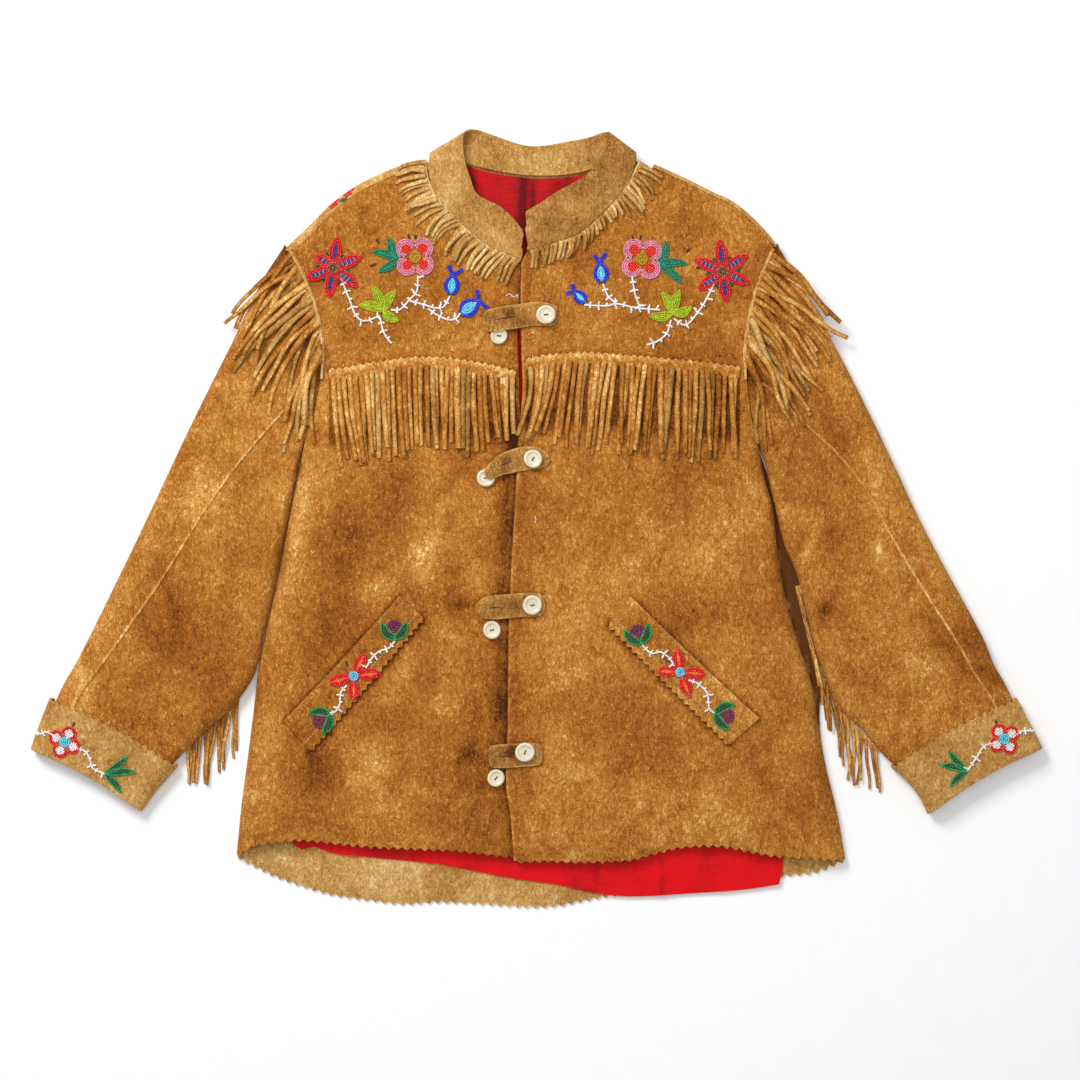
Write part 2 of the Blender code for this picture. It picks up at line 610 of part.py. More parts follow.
def build_cuff(side):
    """The turned-back cuff round the sleeve's end, pinked along its upper edge."""
    middle = MIDDLE_SHARE * CUFF_TOP
    turns = np.radians([30, 60])
    rows = []
    for section in smooth_path(CUFF[side], even(5)):
        width = np.linalg.norm(section[2:] - section[:2])
        far = width - OUTER_ROLL
        ring = [(s, CUFF_TOP) for s in np.linspace(OUTER_ROLL, far, 13)]
        ring += [(far + OUTER_ROLL * math.sin(a), middle + (CUFF_TOP - middle) * math.cos(a)) for a in turns]
        ring += [(width, middle)]
        ring += [(far + OUTER_ROLL * math.cos(a), middle - middle * math.sin(a)) for a in turns]
        ring += [(s, 0) for s in np.linspace(far, OUTER_ROLL, 6)]
        ring += [(OUTER_ROLL - OUTER_ROLL * math.sin(a), middle - middle * math.cos(a)) for a in turns]
        ring += [(0, middle)]
        ring += [(OUTER_ROLL - OUTER_ROLL * math.cos(a), middle + (CUFF_TOP - middle) * math.sin(a))
                 for a in turns]
        ring = np.array(ring)
        plan = bowed(section[:2], section[2:], CUFF_BOW * SIGN[side], ring[:, 0] / width)
        rows.append(np.column_stack([plan, ring[:, 1]]))
    slab(f"cuff_{side}", np.array(rows), HIDE, facing=SIGN[side], teeth=1, closed=True)


def build_collar():
    """Standing collar laid down: a band round the neck, folded at both sides."""
    table = np.array(COLLAR, float)
    seam, free = table[:, :3].copy(), table[:, 3:6]
    lap = table[:, 6:7] * COLLAR_LAP
    seam[:, :2] += lap * unit(seam[:, :2] - free[:, :2])
    ground = Ground("front_left", "front_right", "back_shoulder_left", "back_shoulder_right")
    for row, lapped in zip(seam, table[:, 6]):
        if lapped:
            row[2] = max(ground.around(row[0], row[1], 6), ground.around(row[0], row[1], 12)) + SEAM + HIDE
    both = smooth_path(np.hstack([seam, free]), even(COLLAR_RINGS))
    share = even(COLLAR_COLUMNS)[None, :, None]
    grid = (1 - share) * both[:, None, :3] + share * both[:, None, 3:]
    slab("collar", grid, HIDE)


def build_welt(side):
    """Pocket welt on the front, pinked along its lower edge."""
    ground = Ground(f"front_{side}")
    corners = np.array(WELT_CORNERS[side], float).reshape(2, 2, 2)
    across, down = even(15)[None, :, None], even(4)[:, None, None]
    upper = (1 - across) * corners[0, 0] + across * corners[0, 1]
    lower = (1 - across) * corners[1, 0] + across * corners[1, 1]
    plan = (1 - down) * upper + down * lower
    height = [[ground.around(x, y, 8) + SEAM + WELT for x, y in row] for row in plan]
    grid = np.concatenate([plan, np.array(height)[..., None]], axis=2)
    slab(f"welt_{side}", grid, WELT, teeth=1, upright=True)


def build_button(index, ground):
    """A flat disc with a rounded rim."""
    x, y, radius, _ = BUTTONS[index]
    low = ground.around(x, y, radius) + SEAM
    # Columns: share of the radius, share of the thickness
    profile = [(.78, 0), (1, .3), (1, .7), (.84, 1)]
    rings = []
    for out, up in profile:
        turn = np.linspace(0, 2 * math.pi, BUTTON_SIDES, endpoint=False)
        rings += [(x + out * radius * math.cos(a), y + out * radius * math.sin(a), low + up * BUTTON_THICKNESS)
                  for a in turn]
    n = BUTTON_SIDES
    faces = [list(range(n)), list(range(3 * n, 4 * n))]
    faces += [(r * n + k, r * n + (k + 1) % n, (r + 1) * n + (k + 1) % n, (r + 1) * n + k)
              for r in range(3) for k in range(n)]
    add_node(f"button_{index + 1}", rings, faces)


def build_tab(index, ground):
    """A hide strap with rounded ends across the front opening."""
    line = smooth_path(TABS[index], even(9))
    side = to_the_right(line)
    ends = 2 * np.abs(even(9) - .5)
    half = TAB_WIDTH / 2 * np.sqrt(1 - .8 * ends**8)
    rows = [line + share * half[:, None] * side for share in (-1, 0, 1)]
    high = [max(ground.around(x, y, 6) for x, y in column) for column in np.stack(rows, axis=1)]
    high = [max(high[max(i - 1, 0):i + 2]) for i in range(len(high))]
    height = np.array(high) + SEAM + WELT
    grid = np.array([np.column_stack([row, height]) for row in rows])
    slab(f"tab_{index + 1}", grid, WELT, upright=True)


def build_fringe(name, ground, path, count, strip, tooth, share, width, bend, steps, aim, length):
    """A comb: strands fused at their roots into one narrow strip of hide."""
    places = np.array([i + k * share for i in range(count) for k in (0, 1)]) / (count - 1 + share)
    top = smooth_path(path, places)
    out = to_the_right(top)
    bottom = top + strip * out
    top[::2] -= tooth * out[::2]
    low_top = [ground.around(x, y, 6) + SEAM for x, y in top]
    low_bottom = [ground.around(x, y, 6) + SEAM for x, y in bottom]
    points = []
    for (tx, ty), (bx, by), tz, bz in zip(top, bottom, low_top, low_bottom):
        tz, bz = max(tz, STRAND_FLOOR), max(bz, STRAND_FLOOR)
        points += [(tx, ty, tz), (tx, ty, tz + TRIM), (bx, by, bz), (bx, by, bz + TRIM)]
    faces = [(0, 1, 3, 2), tuple(4 * (len(places) - 1) + k for k in (0, 1, 3, 2))]
    for cell in range(len(places) - 1):
        a, b = 4 * cell, 4 * cell + 4
        faces += [(a + 1, b + 1, b + 3, a + 3), (a, b, b + 2, a + 2), (a, b, b + 1, a + 1)]
        if cell % 2:
            faces.append((a + 2, b + 2, b + 3, a + 3))
            continue
        index = cell // 2
        turn = math.radians(read(aim, places[cell]) + 1.5 * vary(index, 1))
        ahead = np.array([math.cos(turn), math.sin(turn)])
        aside = np.array([-ahead[1], ahead[0]])
        if aside @ (bottom[cell + 1] - bottom[cell]) < 0:
            aside = -aside
        reach = read(length, places[cell]) * (1 + .08 * vary(index, 2))
        root = (bottom[cell] + bottom[cell + 1]) / 2
        curl = bend * (.6 + .4 * vary(index // 5, 3))
        marks = [root + ahead * reach * k / steps + aside * curl * (k / steps) ** 2 for k in range(steps + 1)]
        start = max(low_bottom[cell], low_bottom[cell + 1], STRAND_FLOOR)
        ring = [a + 2, b + 2, b + 3, a + 3]
        for k, low in enumerate(ground.along(marks, start, width / 2 + 1), 1):
            half = width / 2 * (1 - .3 * k / steps)
            near, far = marks[k] - half * aside, marks[k] + half * aside
            first = len(points)
            points += [(*near, low), (*far, low), (*far, low + TRIM), (*near, low + TRIM)]
            following = [first, first + 1, first + 2, first + 3]
            faces += [(ring[i], ring[(i + 1) % 4], following[(i + 1) % 4], following[i]) for i in range(4)]
            ring = following
        faces.append(tuple(ring))
    add_node(name, points, faces)


def build_armhole_fringe(side, ground):
    """Fringe set in the armhole seam, falling over the sleeve."""
    edge = armhole(side, np.linspace(*ARMHOLE_FRINGE_SPAN, 9))
    outward = SIGN[side] * to_the_right(edge)
    path = edge - ARMHOLE_FRINGE_IN * outward
    if side == "right":
        path = path[::-1]
    build_fringe(f"fringe_armhole_{side}", ground, path=path, aim=ARMHOLE_FRINGE_AIM[side],
                 length=ARMHOLE_FRINGE_LENGTH[side], **ARMHOLE_FRINGE)


def build_sleeve_fringe(side, ground):
    """Fringe set in the under seam, showing past the sleeve's inner edge."""
    rings = sleeve_sections(side)[::-1, 2:4]
    sizes = dict(SLEEVE_FRINGE_SIDES[side])
    heights = np.linspace(*sizes.pop("span"), 6)
    edge = np.column_stack([np.interp(heights, rings[:, 1], rings[:, 0]), heights])
    path = edge - sizes.pop("under") * to_the_right(edge)
    build_fringe(f"fringe_sleeve_{side}", ground, path=path, **sizes, **SLEEVE_FRINGE)


def build_jacket():
    for thing in list(bpy.data.objects):
        bpy.data.objects.remove(thing)
    sides = ("left", "right")
    build_back()
    build_lining()
    for side in sides:
        build_shoulder(side)
        build_front(side)
        build_sleeve(side)
        build_cuff(side)
        build_welt(side)
    build_collar()
    body = [f"{piece}_{side}" for piece in ("front", "back_shoulder", "sleeve_front", "sleeve_back", "cuff")
            for side in sides]
    ground = Ground(*body)
    fronts = Ground("front_left", "front_right")
    for side in sides:
        build_armhole_fringe(side, ground)
        build_sleeve_fringe(side, Ground("back_left", "back_right"))
    for name, sizes in FRINGE.items():
        build_fringe(name, ground, **sizes)
    covered = [index for index, row in enumerate(BUTTONS) if row[3]]
    for index in covered:
        build_button(index, fronts)
    below_tabs = Ground("front_left", "front_right", *[f"button_{index + 1}" for index in covered])
    for index in range(len(TABS)):
        build_tab(index, below_tabs)
    over_tabs = Ground("front_left", "front_right", *[f"tab_{index + 1}" for index in range(len(TABS))])
    for index in range(len(BUTTONS)):
        if index not in covered:
            build_button(index, over_tabs)


build_jacket()
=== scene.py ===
"""Beaded hide jacket laid flat on its back: its looks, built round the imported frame.

Plan sizes are in millimetres: X runs to the viewer's right, Y towards the collar and Z up from the surface.
Left and right are the viewer's. Every cloth piece follows its solid's form, with finer folds and edges.
"""
import math

import bmesh
import bpy
import numpy as np
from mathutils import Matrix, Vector, noise
from mathutils.bvhtree import BVHTree


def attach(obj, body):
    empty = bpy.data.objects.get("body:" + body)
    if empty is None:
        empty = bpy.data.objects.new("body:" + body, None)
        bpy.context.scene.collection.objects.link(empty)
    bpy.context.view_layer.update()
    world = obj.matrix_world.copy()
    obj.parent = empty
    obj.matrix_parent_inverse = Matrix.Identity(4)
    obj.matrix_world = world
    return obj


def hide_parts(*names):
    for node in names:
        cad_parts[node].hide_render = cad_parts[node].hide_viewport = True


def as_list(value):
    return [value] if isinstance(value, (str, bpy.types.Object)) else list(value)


MM = 0.001
HIDE = 2.0  # wall of the garment hide
TRIM = 1.4  # wall of the fringe
WELT = 1.8  # wall of the pocket welts and tabs
LINING = 1.0  # wall of the lining
SEAM = 0.4  # clearance between pieces
RIM_BULGE = 0.3  # how far a cut edge stands out, as a share of the wall
ARMHOLE_GAP = 0.9  # clearance in plan where the sleeve meets the body's curved edge
SIDE_SWELL = 1.1  # how far the soft side and sleeve edges stand out towards each other
TOOTH_PITCH = 9.0
TOOTH_DEPTH = 3.6
SIGN = {"left": 1, "right": -1}
SIDES = ("left", "right")
FINE = "fine_"  # starts the name of each piece that stands for a solid

# The body's outlines. Columns: x, y
ARMHOLE = {"left": ((-252, 276), (-231, 80)), "right": ((242, 277), (221, 80))}
ARMHOLE_BOW = {"left": 26, "right": 20}
SHOULDER_CORNER = 0.035  # share of the armhole where the front's shoulder corner lies
SHOULDER_EDGE = {
    "left": [(-246, 278), (-226, 297), (-206, 317), (-186, 332), (-166, 343), (-146, 352), (-132, 357)],
    "right": [(236, 284), (217, 304), (197, 320), (176, 330), (152, 342), (128, 353), (119, 357)],
}
SHOULDER_END = {"left": [(-251.6, 272.0)], "right": [(241.4, 275.0)]}
SHOULDER_SEAM_IN = {"left": 8.0, "right": 4.5}  # how far the back comes over the shoulder
SHOULDER_UNDER = 10.0
SHOULDER_TOP = 15.6
NECKLINE = {
    "left": [(-116, 352.5), (-108, 342), (-100, 327), (-87, 313), (-74, 299), (-59, 286), (-46, 277),
             (-30, 270), (-15, 264)],
    "right": [(104, 355), (92, 342), (84, 332), (71, 316), (60, 304), (50, 296), (34, 286), (12, 279),
              (-6, 273)],
}
SIDE = {
    "left": [(-231, 80), (-238, 50), (-248, 0), (-259, -60), (-268, -100), (-278, -150), (-285, -200),
             (-290, -240), (-296, -285), (-301, -336)],
    "right": [(221, 80), (230, 38), (237, 12), (242, -33), (249, -74), (260, -116), (272, -150),
              (280, -178), (285, -217), (293, -255), (303, -295), (311, -340)],
}
CENTRE_FRONT = [(-14, 262), (-15, 220), (-14, 170), (-13, 130), (-16, 90), (-21, 7), (-25.5, -74),
                (-27, -124), (-28, -209), (-29.7, -265), (-25.5, -293), (-22, -338)]
FRONT_HEM = {
    "left": [(-301, -336), (-283, -325), (-260, -321), (-230, -319), (-196, -323), (-157, -326),
             (-111, -328), (-76, -330), (-42, -334), (-22, -337)],
    "right": [(311, -340), (274, -337), (240, -335), (212, -330), (184, -325), (148, -326), (113, -334),
              (93, -339), (49, -341), (10, -340), (-22, -341)],
}
# How far the left front passes the right front's edge. Columns: y, lap
LAP = [(-345, 3.5), (75, 3.5), (130, -4.5), (190, -4.5), (225, -1.2), (270, -1.2)]
LAP_DIP = 2.8
LAP_DIP_WIDTH = 26.0
LAP_DIP_TOP = (110, 150)  # the dip fades out between these heights of the front
# The fronts' outer face over the surface. Columns: y, height
FRONT_HEIGHT = [(-345, 12.5), (-300, 15.0), (-200, 16.5), (0, 18.0), (150, 18.0), (270, 16.5), (365, 15.0)]
SIDE_ROLL = 20.0
SIDE_EDGE_Z = HIDE + SEAM
NECK_SHARE = 0.55  # share of the front's width where the shoulder seam meets the neck
ARMHOLE_ROWS = 8
SIDE_ROWS = 12
UNDER_SLEEVE = 4.2  # how far the back reaches under the sleeve's rolled edge
# Heights between which an edge keeps its full form, fading out above and below. Columns: y of the four ends
UNDER_SLEEVE_SPAN = (-152, -128, 46, 76)
SIDE_SWELL_SPAN = (-190, -150, 40, 80)
SLEEVE_SWELL_SPAN = (-170, -130, 30, 60)
ROW_SPLIT = 9  # rows of fine cloth to one row of the solid
FRONT_COLUMNS = 150
SIDE_CROWDING = 1.15  # crowds the front's columns towards its side, where it rolls down
# Bands beside the opening: darker from handling and painted shade, with a narrow painted shadow beside the
# right front's edge and a pale rim along that edge.
# Columns: offset, half width, how much darker
HANDLED_AND_SHADED = {"left": [(-7, 6, .12), (-1.8, 2.0, .26)], "right": [(6, 6, .06), (.5, 1.4, -.16)]}
# Loose ends of white sewing thread. Columns: x, y
THREAD_BITS = {
    "left": [[(-30, 224), (-26, 226), (-22, 223), (-18, 226), (-19, 222)]],
    "right": [[(-5, 186.5), (-3, 187.5), (-1.5, 186)], [(-3.5, 165), (-3, 160), (-4, 157)],
              [(-1, 4), (0, 0), (-1, -3)]],
}

# Soft troughs in the upper cloth. Columns: x and y of both ends, half width, depth
BODY_FOLDS = [
    (-131, 90, -118, -75, 16, 2.6),
    (-205, -255, -203, -335, 14, 2.4),
    (104, -250, 136, -335, 16, 2.4),
    (-187, 285, -178, 190, 16, 1.6),
    (-85, -45, -55, -95, 34, 2.0),
    (-215, 60, -232, -60, 16, 1.8),
    (205, 100, 226, -60, 16, 2.2),
    (60, 90, 76, -30, 20, 1.5),
    (160, 10, 120, -60, 20, 1.6),
]
SLEEVE_FOLDS = [
    (282, 90, 301, -20, 12, 3.2),
    (306, -60, 319, -135, 12, 3.0),
    (-268, 40, -300, -60, 14, 2.4),
    (-350, 20, -392, -110, 16, 2.0),
    (-425, -112, -360, -190, 12, 1.8),
    (402, -20, 352, -118, 14, 2.0),
    (430, -125, 372, -190, 12, 1.8),
]
# Finer creases; a negative depth is a ridge
FINE_FOLDS = [
    (-172, 70, -166, -40, 6, .8), (-98, 60, -96, -20, 7, -.7), (-60, 75, -52, 20, 6, .7),
    (-205, 10, -214, -90, 7, -.8), (-150, -250, -156, -322, 8, -.8), (-96, -230, -104, -300, 7, .7),
    (-245, -150, -262, -262, 8, .9), (-231, 40, -246, -70, 5, -.7), (-62, -130, -46, -205, 8, .7),
    (-118, -95, -170, -122, 9, .8), (-52, 250, -60, 205, 7, .6), (-160, 322, -120, 290, 9, .7),
    (-224, 268, -214, 205, 6, .7), (-120, 180, -170, 176, 12, .5),
    (30, 60, 22, -40, 7, .6), (110, 70, 118, -20, 8, -.8), (150, 60, 164, -90, 7, .7),
    (190, 20, 212, -120, 7, -.8), (70, -120, 58, -200, 9, .7), (30, -160, 36, -290, 10, .7),
    (170, -240, 190, -322, 8, -.9), (230, -200, 262, -320, 9, .8), (76, -260, 70, -334, 8, -.7),
    (246, -70, 268, -170, 6, -.7), (205, 262, 198, 205, 7, .7), (110, 300, 170, 300, 9, .6),
    (60, 262, 66, 210, 7, .5), (130, 190, 172, 184, 10, .5),
    (-276, 205, -262, 150, 8, .9), (-292, 150, -280, 90, 8, -.8), (-330, 90, -352, 20, 9, .9),
    (-306, 30, -322, -40, 9, .8), (-372, 10, -398, -60, 9, -.9), (-330, -60, -352, -140, 8, .9),
    (-400, -40, -430, -112, 9, .9), (-372, -120, -400, -165, 7, -.8), (-446, -130, -412, -160, 7, .7),
    (-410, -185, -390, -225, 6, .7), (-318, -150, -338, -190, 6, .8),
    (276, 200, 262, 150, 8, .9), (310, 120, 322, 60, 9, .9), (338, 70, 352, 10, 8, -.8),
    (262, 60, 268, -30, 7, .8), (320, -10, 338, -90, 8, -.8), (372, 20, 392, -50, 9, .9),
    (392, -70, 424, -140, 8, .9), (350, -110, 380, -172, 8, -.9), (420, -90, 450, -140, 7, .7),
    (300, -120, 330, -185, 7, .8), (400, -180, 412, -225, 6, .7),
]
# Unevenness of the fronts and the sleeves. Columns: height, size of the swells, kind of noise
CLOTH_SWELLS = [(.55, 46, 1), (.22, 15, 2)]
LINING_FOLDS = [
    (-66, 356, -60, 262, 5, -1.6), (-40, 350, -38, 270, 6, .9), (-14, 345, -20, 266, 5, -1.3),
    (-4, 345, -2, 270, 4, .9), (14, 345, 18, 280, 6, -1.1), (46, 350, 44, 290, 6, -.8),
    (-14, 228, -15, 105, 9, -6.5),
    (-190, -320, -184, -350, 8, -.8), (60, -330, 66, -385, 9, -.8), (128, -330, 126, -385, 8, -1.0),
    (186, -325, 190, -380, 9, -.8), (20, -340, 18, -380, 8, .6), (232, -328, 240, -366, 6, -1.0),
]

# Painted shade in the lining's creases. Columns: x and y of both ends, half width, strength
LINING_CREASE_SHADE = [
    (-66, 352, -61, 300, 2.6, .35), (-14, 348, -17, 280, 3.2, .5), (-6, 346, -3, 296, 2.4, .3),
    (34, 348, 30, 316, 2.6, .3), (128, -340, 126, -376, 3, .3), (60, -344, 64, -372, 3, .2),
]

# The back's outline. Its right side is cut fuller than the front's, to fill the gap beside the sleeve, where
# it carries painted shade.
BACK_SIDE = {
    "left": SIDE["left"],
    "right": [(221, 80), (230, 40), (239, 10), (249, -26), (262, -58), (272, -96), (283, -138), (288, -160),
              (285, -196), (290, -240), (303, -295), (311, -340)],
}
CENTRE_BACK_X = 22.0
BACK_NECK = [(-100, 366), (-72, 361), (-53, 355), (-12, 350), (CENTRE_BACK_X, 349), (53, 353), (78, 362),
             (96, 366)]
BACK_HEM = [(-301, -336), (-283, -346), (-260, -357), (-232, -367), (-203, -375), (-168, -380),
            (-134, -384), (-99, -382), (-53, -384), (-7, -387), (CENTRE_BACK_X, -386), (56, -379),
            (83, -375), (150, -372), (200, -365), (249, -356), (281, -352), (311, -340)]
BACK_STEP = 9  # distance between the back's points
LINING_STEP = 5
LINING_OUTLINE = [
    (-98, 352), (-72, 357), (-53, 351), (-12, 344), (27, 344), (53, 349), (75, 356), (92, 350),
    (196, 268), (186, 90), (205, -40), (238, -170), (247, -310), (249, -338), (245, -364), (239, -367),
    (205, -372), (159, -375), (113, -378), (83, -378), (56, -374), (24, -367), (4, -364), (-30, -359),
    (-65, -352), (-88, -347), (-134, -342), (-177, -338), (-203, -335), (-226, -327), (-245, -320),
    (-238, -170), (-205, -20), (-192, 90), (-200, 268),
]

# Sleeve sections from the armhole to inside the cuff.
# Columns: outer x, outer y, inner x, inner y, bow, front seam's share of the width, lower z, upper z
SLEEVE = {
    "left": [
        (-252, 276, -231, 80, 26, .74, 0, 16.5),
        (-276, 238, -238.4, 58, 14, .66, 0, 17.0),
        (-304, 180, -246.2, 23, 5, .56, 0, 17.0),
        (-334, 120, -255.8, -27, 0, .44, 0, 17.0),
        (-363, 60, -266, -78, 0, .34, 0, 17.0),
        (-391, 0, -275.6, -118, 0, .28, 0, 17.0),
        (-420, -60, -283, -155, 0, .22, 0, 16.6),
        (-447, -115, -305, -188, 0, .17, 0.2, 16.0),
        (-463, -146, -332, -212, 2, .15, 1.3, 15.4),
        (-474, -165, -352, -232, 4, .14, 2.5, 15.0),
        (-489, -198, -382, -262, 5, .14, 2.5, 15.0),
    ],
    "right": [
        (242, 277, 221, 80, 20, .70, 0, 16.5),
        (263, 240, 229.5, 58, 11, .60, 0, 17.0),
        (297, 180, 239.6, 20, 4, .50, 0, 17.0),
        (328, 120, 249.5, -22, 0, .36, 0, 17.0),
        (357, 60, 263, -55, 0, .27, 0, 17.0),
        (385, 0, 273, -95, 0, .23, 0, 17.0),
        (417, -60, 284, -138, 0, .19, 0, 16.6),
        (447, -115, 304, -186, 0, .16, 0.2, 16.0),
        (460, -146, 328, -211, 2, .15, 1.3, 15.4),
        (471, -165, 348, -235, 4, .14, 2.5, 15.0),
        (486, -198, 378, -262, 5, .14, 2.5, 15.0),
    ],
}
SLEEVE_RINGS = 141
FOLD_FADE = 0.19  # share of the sleeve over which its folds fade at both ends
FOLD_END = 0.87  # share of the sleeve where they end, above the cuff
OUTER_ROLL = 14.0
INNER_ROLL = 16.0
UNDER_EDGE = 0.6  # lowest inner face of the sleeve, where it turns under beside the body
MIDDLE_SHARE = 0.45  # height of the sleeve's side edge, as a share of its thickness

# Cuff sections from its open end to its pinked edge. Columns: outer x, outer y, inner x, inner y
CUFF = {
    "left": [(-507, -229, -395, -292), (-501, -212, -384, -276), (-495, -196, -372, -262),
             (-489, -181, -361, -249)],
    "right": [(508, -228, 393, -295), (500, -212, 384, -277), (492, -197, 371, -261),
              (484, -181, 358, -250)],
}
CUFF_BOW = 5.0
CUFF_TOP = 17.6
CUFF_ROWS = 22
CUFF_TUCK = 2.6  # how far the cuff's underside is drawn in at its open end

# Collar sections from the left front edge round the neck to the right one; z is that of its outer face.
# Columns: seam x, y, z, free edge x, y, z, and 1 where the seam laps the front
COLLAR = [
    (-14.5, 264, 18.6, -13.2, 290, 17.6, 1),
    (-30, 270, 18.6, -27, 306, 17.8, 1),
    (-46, 277, 18.6, -39, 315, 18.0, 1),
    (-58, 286, 18.6, -50, 320, 18.2, 1),
    (-73, 299, 18.6, -60, 327, 18.2, 1),
    (-85, 313, 18.6, -66, 342, 18.2, 1),
    (-98, 328, 18.4, -71, 358, 18.0, 1),
    (-104, 345, 18.0, -73, 374, 17.6, 1),
    (-107, 361, 17.4, -72, 387, 16.8, 0),
    (-103, 370, 9.8, -66, 392, 10.4, 0),
    (-85, 364, 4.2, -57, 391, 5.6, 0),
    (-53, 354, 4.2, -46, 387, 5.4, 0),
    (-12, 347, 4.2, -6, 375, 5.4, 0),
    (27, 347, 4.2, 34, 380, 5.4, 0),
    (53, 352, 4.2, 54, 384, 5.6, 0),
    (78, 362, 4.2, 65, 388, 5.6, 0),
    (98, 370, 9.8, 74, 389, 10.4, 0),
    (100, 361, 17.4, 74, 381, 16.8, 0),
    (92, 344, 18.0, 66, 363, 17.6, 1),
    (84, 332, 18.4, 54, 348, 18.0, 1),
    (71, 316, 18.6, 38, 337, 18.2, 1),
    (50, 296, 18.6, 21, 328, 18.2, 1),
    (34, 286, 18.6, 5, 317, 18.0, 1),
    (12, 279, 18.6, -4, 312, 17.8, 1),
    (-9, 273, 18.6, -11.4, 307, 17.6, 1),
]
COLLAR_LAP = 3.0
COLLAR_CLEARS = 12  # the collar's seam lies over everything within this reach
COLLAR_RINGS = 260
COLLAR_COLUMNS = 16

# Pocket welts: the plain edge's lower and upper corner, then the pinked edge's. Columns: x, y
WELT_SAG = (0, -1.5)  # how far the middle of a welt sags
WELT_TOOTH_PITCH = 8.0
WELT_TOOTH_DEPTH = 3.4
WELT_CORNERS = {
    "left": [(-252, -201), (-136, -76), (-226, -230), (-113, -97)],
    "right": [(95, -77), (223, -198), (73, -104), (194, -224)],
}

# Closing tabs, from the loop end to the button end. Columns: x, y
TAB_WIDTH = 23.0
TABS = [
    [(-51, 198), (-27, 202), (0, 206), (21, 204)],
    [(-50, 44), (-31, 56), (-6, 62), (14, 59)],
    [(-58, -89), (-36, -87), (-13, -85), (9, -85)],
    [(-47, -237), (-28, -236), (-11, -235), (6, -234)],
]
# Buttons. Columns: x, y, radius, and 1 where the tab lies over it
BUTTONS = [
    (-37, 184, 8.5, 1), (10, 205, 9.7, 0),
    (-50, 42, 9.0, 1), (-3, 61, 9.3, 0),
    (-44, -110, 9.0, 0), (-3.6, -85, 9.8, 0),
    (-40, -258, 8.7, 0), (-11, -232, 9.8, 0),
]
BUTTON_THICKNESS = 3.2

# Fringe. The strands hang to the right of the strip's path.
# path: x, y. strip: depth of the backing. aim and length: share of the path, degrees from +X or millimetres.
# stray: spread of the strands' headings. curl: how far a strand turns over its length, in degrees.
# taper: share of its width that a strand loses. shade: lightens them all. pale: share cut from paler hide.
YOKE_FRINGE = dict(strip=9, tooth=2.6, taper=.08, shade=-.03, pale=.14)
COLLAR_FRINGE = dict(strip=4, tooth=0, taper=.34, pale=.5)
FRINGE = {
    "fringe_yoke_left": dict(
        path=[(-207, 149), (-188, 151), (-163, 156), (-122, 161), (-86, 160), (-48, 154), (-20, 147)],
        count=34, width=(5.4, 6.6), curl=[(0, 14), (.3, 4), (1, 8)], stray=2.8, **YOKE_FRINGE,
        aim=[(0, 270), (.08, 274), (.3, 271), (.7, 268), (1, 272)],
        length=[(0, 82), (.2, 84), (.4, 84), (.8, 80), (.86, 66), (1, 54)]),
    "fringe_yoke_right": dict(
        path=[(-10, 159), (17, 164), (46, 166), (80, 164), (114, 161), (150, 158), (186, 154), (204, 151)],
        count=37, width=(5.2, 6.4), stray=3.6, **YOKE_FRINGE,
        curl=[(0, -46), (.10, -34), (.2, 8), (1, -4)],
        aim=[(0, 274), (.12, 268), (.2, 262), (.6, 266), (1, 271)],
        length=[(0, 70), (.16, 74), (.22, 84), (.6, 88), (1, 84)]),
    "fringe_collar_left": dict(
        path=[(-112, 360.5), (-111, 345), (-103.5, 326), (-90, 310.5), (-77, 296), (-62, 282.5), (-48.5, 273),
              (-32, 265.5), (-16, 259.5)],
        count=32, width=(5.0, 6.4), curl=[(0, 40), (.5, 62), (1, 46)], stray=11, shade=.04, **COLLAR_FRINGE,
        aim=[(0, 180), (.3, 190), (.6, 204), (.8, 218), (1, 240)],
        length=[(0, 28), (.3, 32), (.7, 31), (1, 28)]),
    "fringe_collar_right": dict(
        path=[(-6, 269), (12.5, 274.5), (36, 281.5), (53.5, 292), (74.5, 312), (88.5, 329), (97.5, 343),
              (105, 357)],
        count=30, width=(4.8, 6.0), stray=9, shade=.03, **COLLAR_FRINGE,
        curl=[(0, -36), (.45, -40), (.6, -20), (.7, -34), (1, -34)],
        aim=[(0, 276), (.2, 272), (.45, 280), (.6, 300), (.8, 316), (1, 344)],
        length=[(0, 18), (.2, 21), (.42, 18), (.5, 10), (.66, 11), (.74, 28), (1, 28)]),
}
UNDER_COLLAR = 2.4  # how far the collar's fringe starts under its edge
SLEEVE_FRINGE = dict(strip=5, tooth=0, width=(3.4, 4.4), stray=7, taper=.25, shade=-.04, pale=.3)
